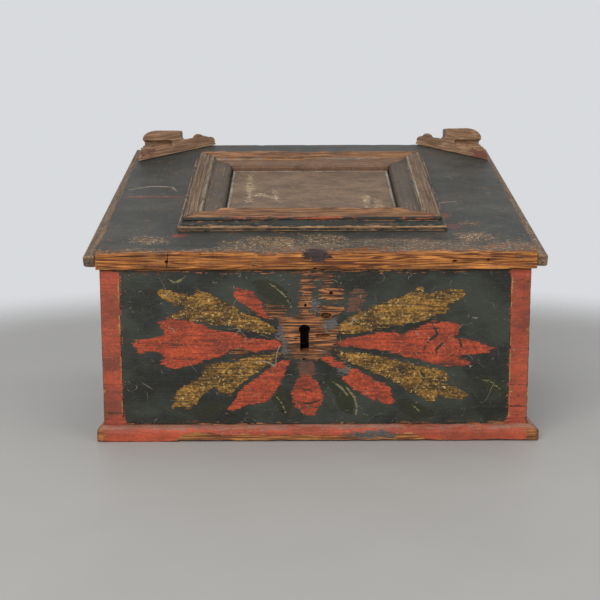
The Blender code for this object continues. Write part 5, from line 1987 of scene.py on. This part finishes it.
@dataclass
class LidFrame:
    """The four mitred mouldings on the lid."""

    width: float = 0.254  # across, over the outer edges
    depth: float = 0.212  # up the slope, over the outer edges
    front: float = -0.2693  # up the slope from the hinge axis to the front's outer edge
    off_centre: float = -2.3 * MM  # how far it stands to the right of the middle
    seat: float = 19.2 * MM  # height of its underside over the hinge axis
    height: float = 12 * MM  # height over the lid
    base_h: float = 2.2 * MM  # height of the lowest fillet
    bead_r: float = 1.2 * MM  # radius of the bead over it
    bead_in: float = 1.6 * MM  # how far in the bead stands
    cove_in: float = 4.0 * MM  # depth of the cove
    lip_out: float = 0.4 * MM  # how far the lip comes out over the cove
    lip_h: float = 1.6 * MM  # height of the lip
    reeds: int = 4  # number of reeds on the ridge
    reed_w: float = 4.1 * MM  # width of a reed
    reed_rise: float = 1.0 * MM  # height of a reed
    step: float = 4.2 * MM  # drop from the ridge to the band
    band_w: float = 13.2 * MM  # width of the band
    inner_r: float = 4.4 * MM  # radius of the bead round the panel
    inner_turn: float = 125  # where that bead starts, in degrees
    outline_cell: float = 0.5 * MM  # the mesh's spacing round their section
    cell: float = 1.6 * MM  # the mesh's spacing along the mouldings
    film: float = 0.04 * MM  # thickness of the film of paint all over them
    fibre_rise: float = 0.4 * MM  # how far the grain stands out
    build_up: float = 0.6 * MM  # how far old paint has built up in patches
    rough_from: tuple[float, float] = (2 * MM, 7 * MM)  # between which heights both set in
    bend_gain: float = -8  # how strongly a bend counts, below 0 with hollows rubbed and arrises dark
    warm_runs: int = 2  # how many of the runs, counted from the front one, have a warm brown left on them

    @property
    def reed_base(self) -> float:
        """Height of the grooves between the reeds."""
        return self.height - self.reed_rise

    @property
    def cove_span(self) -> tuple[float, float]:
        """Heights of the cove's foot and top."""
        return self.base_h + 2 * self.bead_r, self.reed_base - self.lip_h

    @property
    def lip(self) -> float:
        """Depth of the lip's face."""
        return self.bead_in + self.cove_in - self.lip_out

    @property
    def ridge_end(self) -> float:
        """Depth of the reeded ridge's inner edge."""
        return self.lip + self.reeds * self.reed_w

    def profile(self) -> Array:
        """The section: depth in from the outer edge, and height.

        Returns:
            The points of its closed outline.
        """
        low, high = self.cove_span
        bead = arc((self.bead_in, self.base_h + self.bead_r), self.bead_r, 270, 90)
        cove = [(self.bead_in + self.cove_in * c, high + (high - low) * s) for c, s in arc((0, 0), 1, -90, 0)]
        crests = [
            (self.lip + (i + 0.5 + 0.5 * c) * self.reed_w, self.reed_base + self.reed_rise * s)
            for i in range(self.reeds)
            for c, s in arc((0, 0), 1, 180, 0)[:-1]
        ]
        band = self.height - self.step
        band_end = self.ridge_end + self.band_w
        turn = radians(self.inner_turn)
        centre = (band_end - self.inner_r * cos(turn), band - self.inner_r * sin(turn))
        inner = arc(centre, self.inner_r, self.inner_turn, 0)
        rise = [(self.ridge_end, self.reed_base), (self.ridge_end, band), (band_end, band)]
        outline = [(0, 0), (0, self.base_h), *bead[:-1], *cove, (self.lip, high), *crests, *rise, *inner[1:]]
        return np.array([*outline, (inner[-1][0], 0)])

    def mouldings(self) -> tuple[Moulding, ...]:
        """The four runs: front, back, left and right.

        Returns:
            The runs, in that order.
        """
        middle, back = self.front + self.depth / 2, self.front + self.depth
        left, right = self.off_centre - self.width / 2, self.off_centre + self.width / 2
        runs = (
            ("front", self.width, self.off_centre, self.front, 0),
            ("back", self.width, self.off_centre, back, pi),
            ("left", self.depth, left, middle, -pi / 2),
            ("right", self.depth, right, middle, pi / 2),
        )
        return tuple(
            Moulding(f"frame_moulding_{name}", length, (x, v, self.seat), turn, (True, True))
            for name, length, x, v, turn in runs
        )

    def layers(self, points: Array, number: int) -> dict[str, Array]:
        """Where each coat is left on a run.

        Args:
            points: its points, in its own frame.
            number: which of the runs it is.

        Returns:
            How far inside each coat each point lies, in millimetres.
        """
        depth, height = points[:, 1] / MM, points[:, 2] / MM
        swell, lip = (self.base_h + self.bead_r) / MM, self.lip / MM
        step = depth - self.ridge_end / MM
        outer = {
            "cove": np.full(len(points), 3.0),
            "bead": np.maximum(1.0 - np.abs(height - swell), 0.9 - height),
        }
        traces = np.minimum(height - self.cove_span[1] / MM + 0.4, lip + 3 - depth)
        traces -= 2 * between(CHIPS.layered(points, (16, 0, 0)), -0.1, 0.3)
        inner = {"band": step - 0.5, "line": 0.8 - np.abs(step - 0.4)}
        under_crest = (height <= self.reed_base / MM - 0.6) & (number > 0)
        found = masked(depth < lip + 1.2, outer) | masked(under_crest, inner)
        if number >= self.warm_runs:
            found["line"] = 0.9 - np.abs(step + 0.6)
        return found | masked(np.full(len(points), number == 0), {"lip": traces})

    def build(self) -> None:
        """Make and dress the four runs."""
        outline = smoothed(resampled(self.profile(), self.outline_cell), 1)
        for number, moulding in enumerate(self.mouldings()):
            points, faces = swept(outline, moulding.length, self.cell, moulding.mitres)
            made = new_object(f"worn_{moulding.node}", points, faces, LID_PLACE)
            seen = points + 0.43 * number
            fibre = between(FIBRES.layered(seen, (8, 420, 420)), -0.2, 0.5)
            crust = between(CHIPS.layered(seen, (70, 140, 140)), 0.1, 0.6)
            rough = between(points[:, 2], *self.rough_from)
            rise = self.film + rough * (self.fibre_rise * fibre + self.build_up * crust)
            raised = points + normals_of(made) * rise[:, None]
            raised[:, 2] = np.maximum(raised[:, 2], 0)
            set_points(made, moved(raised, moulding.place()))
            store_bends(made, self.bend_gain)
            finish = WARM_FRAME if number < self.warm_runs else WORN_FRAME
            layers = self.layers(points, number)
            hand_over(made, "lid", (moulding.node,), finish, layers, seen)


@dataclass
class Brackets:
    """The carved bracket across each back corner of the lid."""

    nodes: tuple[str, str] = ("corner_bracket_left", "corner_bracket_right")  # their CAD nodes
    voxel: float = 0.7 * MM  # the mesh's spacing
    softening: int = 5  # how often the carving's arrises are rubbed down
    bend_gain: float = 6  # how strongly a bend counts as an arris or a hollow
    foot: float = 2 * MM  # height over the lid from which the cuts are at their deepest
    tool_marks: float = 0.14 * MM  # depth of the carver's cuts
    red_h: float = 9 * MM  # height over the lid up to which red paint is left
    red_reach: float = 16 * MM  # how far in from the outer end it is left
    swing: float = radians(36)  # how far they are turned from the lid's back edge
    dark_and_shade_drop: float = 11.5 * MM  # how far under its highest point a bracket's edges carry dark paint and painted shade

    def edges(self, made: Object, turn: float) -> Array:
        """Where dark paint is left and shade is painted: on all that looks away from the face, high up, such
        as the rims and the underside of the roll.

        Args:
            made: the bracket.
            turn: how far it is turned from the lid's back edge.

        Returns:
            How far inside that area each point lies, in millimetres.
        """
        face = np.array(LID_PLACE.inverted().to_3x3()) @ (-sin(turn), -cos(turn), 0)
        away = (0.6 - normals_of(made) @ face) * 4
        height = moved(points_of(made), LID_PLACE)[:, 2]
        return np.minimum(away, (height - height.max() + self.dark_and_shade_drop) / MM)

    def build(self) -> None:
        """Make and dress both brackets."""
        for node in self.nodes:
            made = node_copy(node)
            made.name = f"carved_{node}"
            made.data.transform(LID_PLACE.inverted())
            made.matrix_world = LID_PLACE
            remesh = made.modifiers.new("remesh", "REMESH")
            remesh.mode = "VOXEL"
            remesh.voxel_size = self.voxel
            soft = made.modifiers.new("soft", "SMOOTH")
            soft.iterations = self.softening
            applied(made)
            points = points_of(made)
            seat = points[:, 2].min()
            turn = self.swing if node.endswith("right") else -self.swing
            seen = moved(points, Matrix.Rotation(turn, 4, "Z"))
            cuts = between(DENTS.layered(seen, (60, 60, 120)), -0.3, 0.5)
            fibre = between(FIBRES.layered(seen, (14, 320, 320)), -0.2, 0.5)
            chip = between(CHIPS.layered(seen, 130), 0.15, 0.6)
            sink = self.tool_marks * (cuts + 0.8 * fibre + 1.6 * chip)
            sink *= between(points[:, 2] - seat, 0, self.foot)
            set_points(made, points - normals_of(made) * sink[:, None])
            store_bends(made, self.bend_gain, 4)
            outer = np.abs(points[:, 0]).max() - np.abs(points[:, 0])
            red = np.minimum(self.red_h - (points[:, 2] - seat), self.red_reach - outer) / MM
            # dark: dark paint, and painted shade on the rims and under the roll
            layers = {"red": red, "dark": self.edges(made, turn)}
            hand_over(made, "lid", (node,), WORN_BRACKET, layers, seen)


@dataclass
class Ironwork:
    """Hinges, nails, lock and staple: the CAD nodes, with broken arrises and a finish."""

    arris: float = 0.25 * MM  # width of the broken arrises
    # The pieces that slide or were filed bright
    filed: tuple[str, ...] = ("lock_bolt", "bolt_stud_left", "bolt_stud_right", "lock_spring")

    def dress(self) -> None:
        """Dress each CAD node that is still shown."""
        for name, node in frame["nodes"].items():
            if node.hide_render:
                continue
            edge = node.modifiers.new("arris", "BEVEL")
            edge.width = self.arris
            edge.segments = 2
            edge.limit_method = "ANGLE"
            node.data.materials.clear()
            finish = FILED if name in self.filed else FORGED
            node.data.materials.append(finish.material())
            LOG.info("%s keeps its solid", name)


@dataclass
class Brads:
    """Small nails with their heads flush in the base mouldings, the strips and the panel."""

    head: float = 1.1 * MM  # radius of a head
    crown: float = 0.25 * MM  # how far a head's middle stands proud

    RINGS: ClassVar[tuple[tuple[float, float], ...]] = ((0.4, 0.9), (0.8, 0.55), (1.0, -0.2), (1.0, -4.0))
    SIDES: ClassVar[int] = 10

    def head_mesh(self, spot: Vector, out: Vector) -> tuple[list, list]:
        """One nail head.

        Args:
            spot: where its head lies.
            out: the way out of the wood.

        Returns:
            Its points and faces.
        """
        turn = out.to_track_quat("Z", "Y").to_matrix()
        points = []
        for share, height in self.RINGS:
            for index in range(self.SIDES):
                angle = 2 * pi * (index + spot.x * 100) / self.SIDES
                round_out = Vector((cos(angle) * share * self.head, sin(angle) * share * self.head * 0.9, 0))
                points.append(spot + turn @ (round_out + Vector((0, 0, height * self.crown))))
        return points, tube(len(self.RINGS), self.SIDES)

    def build(self, name: str, body: str, spots: Sequence[tuple], place: Matrix) -> None:
        """Make one set of nail heads.

        Args:
            name: the piece's name.
            body: the body that it rides on.
            spots: each head's place and the way out of the wood.
            place: the frame that they are given in.
        """
        points, faces = [], []
        for spot, out in spots:
            more, rims = self.head_mesh(Vector(spot), Vector(out))
            faces += [[index + len(points) for index in rim] for rim in rims]
            points += more
        made = new_object(name, np.array(points), faces, place)
        hand_over(made, body, (), FORGED, {})


@dataclass
class Studio:
    """A plain pale floor, soft light and the camera."""

    eye: tuple[float, float, float] = (-0.0148, -1.0639, 0.2682)  # where the camera stands
    pitch: float = 8.61  # how far it looks down, in degrees
    yaw: float = 0.05  # how far it looks to the right, in degrees
    roll: float = -0.17  # how far it leans, in degrees
    lens: float = 61.24  # its focal length, in millimetres
    sensor: float = 36  # its sensor's width, in millimetres
    floor_r: float = 1.4  # the floor's radius
    floor_sides: int = 96  # the number of its sides
    fade: tuple[float, float] = (0.55, 0.95)  # between which distances from the middle it fades out

    BACK: ClassVar[Colour] = (216, 218, 221)
    LAMPS: ClassVar[tuple[tuple[str, tuple[float, float, float], float, float], ...]] = (
        ("key_light", (-1.1, -2.1, 1.5), 1.7, 46),
        ("fill_light", (1.7, -1.6, 1.1), 1.6, 17),
        ("top_light", (0.1, 0.3, 2.3), 1.8, 9),
    )
    AIM: ClassVar[tuple[float, float, float]] = (0, 0, 0.12)

    def build(self) -> None:
        """Make the floor, the light and the camera."""
        scene = bpy.context.scene
        scene.view_settings.view_transform = "Standard"
        self.floor()
        self.light(scene)
        lens = bpy.data.cameras.new("camera")
        lens.lens = self.lens
        lens.sensor_width = self.sensor
        camera = bpy.data.objects.new("camera", lens)
        scene.collection.objects.link(camera)
        lean = Matrix.Rotation(radians(self.roll), 4, "Z")
        look = Matrix.Rotation(radians(-self.yaw), 4, "Z") @ Matrix.Rotation(radians(90 - self.pitch), 4, "X")
        camera.matrix_world = Matrix.Translation(self.eye) @ look @ lean
        scene.camera = camera

    def floor(self) -> None:
        """A round floor that fades out into the backdrop."""
        angles = [2 * pi * index / self.floor_sides for index in range(self.floor_sides)]
        points = np.array([(self.floor_r * cos(a), self.floor_r * sin(a), -SKIN) for a in angles])
        made = new_object("floor", points, [list(range(self.floor_sides))])
        finish = bpy.data.materials.new("pale_floor")
        finish.use_nodes = True
        g = Graph(finish.node_tree)
        shader = finish.node_tree.nodes["Principled BSDF"]
        place = g.node("ShaderNodeTexCoord").outputs["Object"]
        cloud = g.noise(place, 9, 6, 0.6)
        g.feed(shader.inputs["Base Color"], g.blend(cloud, (166, 164, 160), (176, 174, 170)))
        shader.inputs["Roughness"].default_value = 0.55
        reach = g.wired("ShaderNodeVectorMath", {0: place}, "Value", operation="LENGTH")
        g.feed(shader.inputs["Alpha"], g.math("SUBTRACT", 1, g.step(reach, *self.fade)))
        made.data.materials.append(finish)

    def light(self, scene: bpy.types.Scene) -> None:
        """The lamps and the backdrop.

        Args:
            scene: the scene that they light.
        """
        for name, spot, size, power in self.LAMPS:
            lamp = bpy.data.lights.new(name, "AREA")
            lamp.size = size
            lamp.energy = power
            made = bpy.data.objects.new(name, lamp)
            made.location = spot
            made.rotation_euler = (Vector(self.AIM) - Vector(spot)).to_track_quat("-Z", "Y").to_euler()
            scene.collection.objects.link(made)
        world = bpy.data.worlds.new("backdrop")
        world.use_nodes = True
        scene.world = world
        g = Graph(world.node_tree)
        glow = world.node_tree.nodes["Background"]
        path = g.node("ShaderNodeLightPath")
        seen = g.math("MAXIMUM", path.outputs["Is Camera Ray"], path.outputs["Is Glossy Ray"])
        seen = g.math("MAXIMUM", seen, path.outputs["Is Transmission Ray"])
        g.feed(glow.inputs["Color"], self.BACK)
        g.feed(glow.inputs["Strength"], g.lerp(seen, 0.55, 1.0))


FRONT_PITS = tuple(
    Pit((KEY_X + x * MM, FRONT_Y, KEY_Z + z * MM), (0, -1, 0), radius * MM, depth * MM, stretch)
    for x, z, radius, depth, stretch in (
        (24, 34, 1.5, 5, 1.4),
        (20, 13, 2.8, 7, 2.0),
        (17, -5, 1.9, 5, 3.8),
        (1, 23, 1.6, 4, 0.8),
        (0, -27, 1.3, 4, 1.8),
        (-20, -76, 1.0, 4, 1.0),
        (187, -80, 1.0, 4, 1.0),
        (-8, -8, 0.7, 3, 2.0),
    )
)


BASE_NAIL_Z = 8.5 * MM
BASE_NAIL_FRONT = -0.1583
BASE_NAIL_SIDES = (-0.2004, 0.2044)
STRIP_NAIL_X = 0.2027
STRIP_NAIL_UP = 15.2 * MM
PANEL_NAIL_UP = 21.5 * MM
LID_OUT = (0, 0, 1)


def case_brads() -> list:
    """Where the nails of the base mouldings stand, and the way out of the wood.

    Returns:
        A place and a direction each.
    """
    front_xs, side_ys = (-0.19, -0.098, 0.004, 0.101, 0.187), (-0.12, 0.0, 0.12)
    front = [((x, BASE_NAIL_FRONT, BASE_NAIL_Z), (0, -1, 0.5)) for x in front_xs]
    sides = [((x, y, BASE_NAIL_Z), (copysign(1, x), 0, 0.5)) for x in BASE_NAIL_SIDES for y in side_ys]
    return front + sides


def lid_brads() -> list:
    """Where the nails of the lid's strips and panel stand, and the way out of the wood.

    Returns:
        A place and a direction each, in the lid's frame.
    """
    strip_xs, strip_vs = (-STRIP_NAIL_X, STRIP_NAIL_X), (-0.29, -0.2, -0.11, -0.03)
    strips = [((x, v, STRIP_NAIL_UP), LID_OUT) for x in strip_xs for v in strip_vs]
    panel = [((x, v, PANEL_NAIL_UP), LID_OUT) for x in (-0.083, 0.078) for v in (-0.208, -0.122)]
    return strips + panel


def main() -> None:
    """Build each sub-assembly in order, dress it and set up the studio."""
    logging.basicConfig(level=logging.INFO, format="%(message)s")
    FrontBoard(
        "front_board", "case", PAINTED_FRONT, "dark_paint", (1.2 * MM, 2 * MM, 1.2 * MM), marks=FRONT_PITS
    ).build()
    for node in ("left_side_board", "right_side_board"):
        SideWall(node, "case", PAINTED_SIDE, "dark_paint", (2 * MM, 2.5 * MM, 2 * MM)).build()
    Wall("back_board", "case", PAINTED_BACK, "dark_paint", (2.5 * MM,) * 3).build()
    WornBoard("bottom_board", "case", BARE_PINE, "bare_pine", (3 * MM,) * 3).build()
    BaseMouldings().build()
    LidBoard(
        "lid_board", "lid", PAINTED_LID, "dark_paint", (1.4 * MM, 2.2 * MM, 0.5 * MM), marks=LID_MARKS
    ).build()
    for node in ("lid_strip_left", "lid_strip_right"):
        LidStrip(node, "lid", WORN_STRIP, "worn_brown", (1 * MM, 1.6 * MM, 1 * MM), arris=2 * MM).build()
    LidFrame().build()
    # Its wide wear reach also widens the painted highlight on its arrises
    LidPanel(
        "lid_panel", "lid", WORN_PANEL, "worn_brown", (1.6 * MM, 1.6 * MM, 1 * MM),
        arris=1 * MM, wear_reach=2 * MM,
    ).build()
    Brackets().build()
    Ironwork().dress()
    Brads().build("case_brads", "case", case_brads(), WORLD_PLACE)
    Brads().build("lid_brads", "lid", lid_brads(), LID_PLACE)
    Studio().build()


if __name__ == "__main__":
    main()
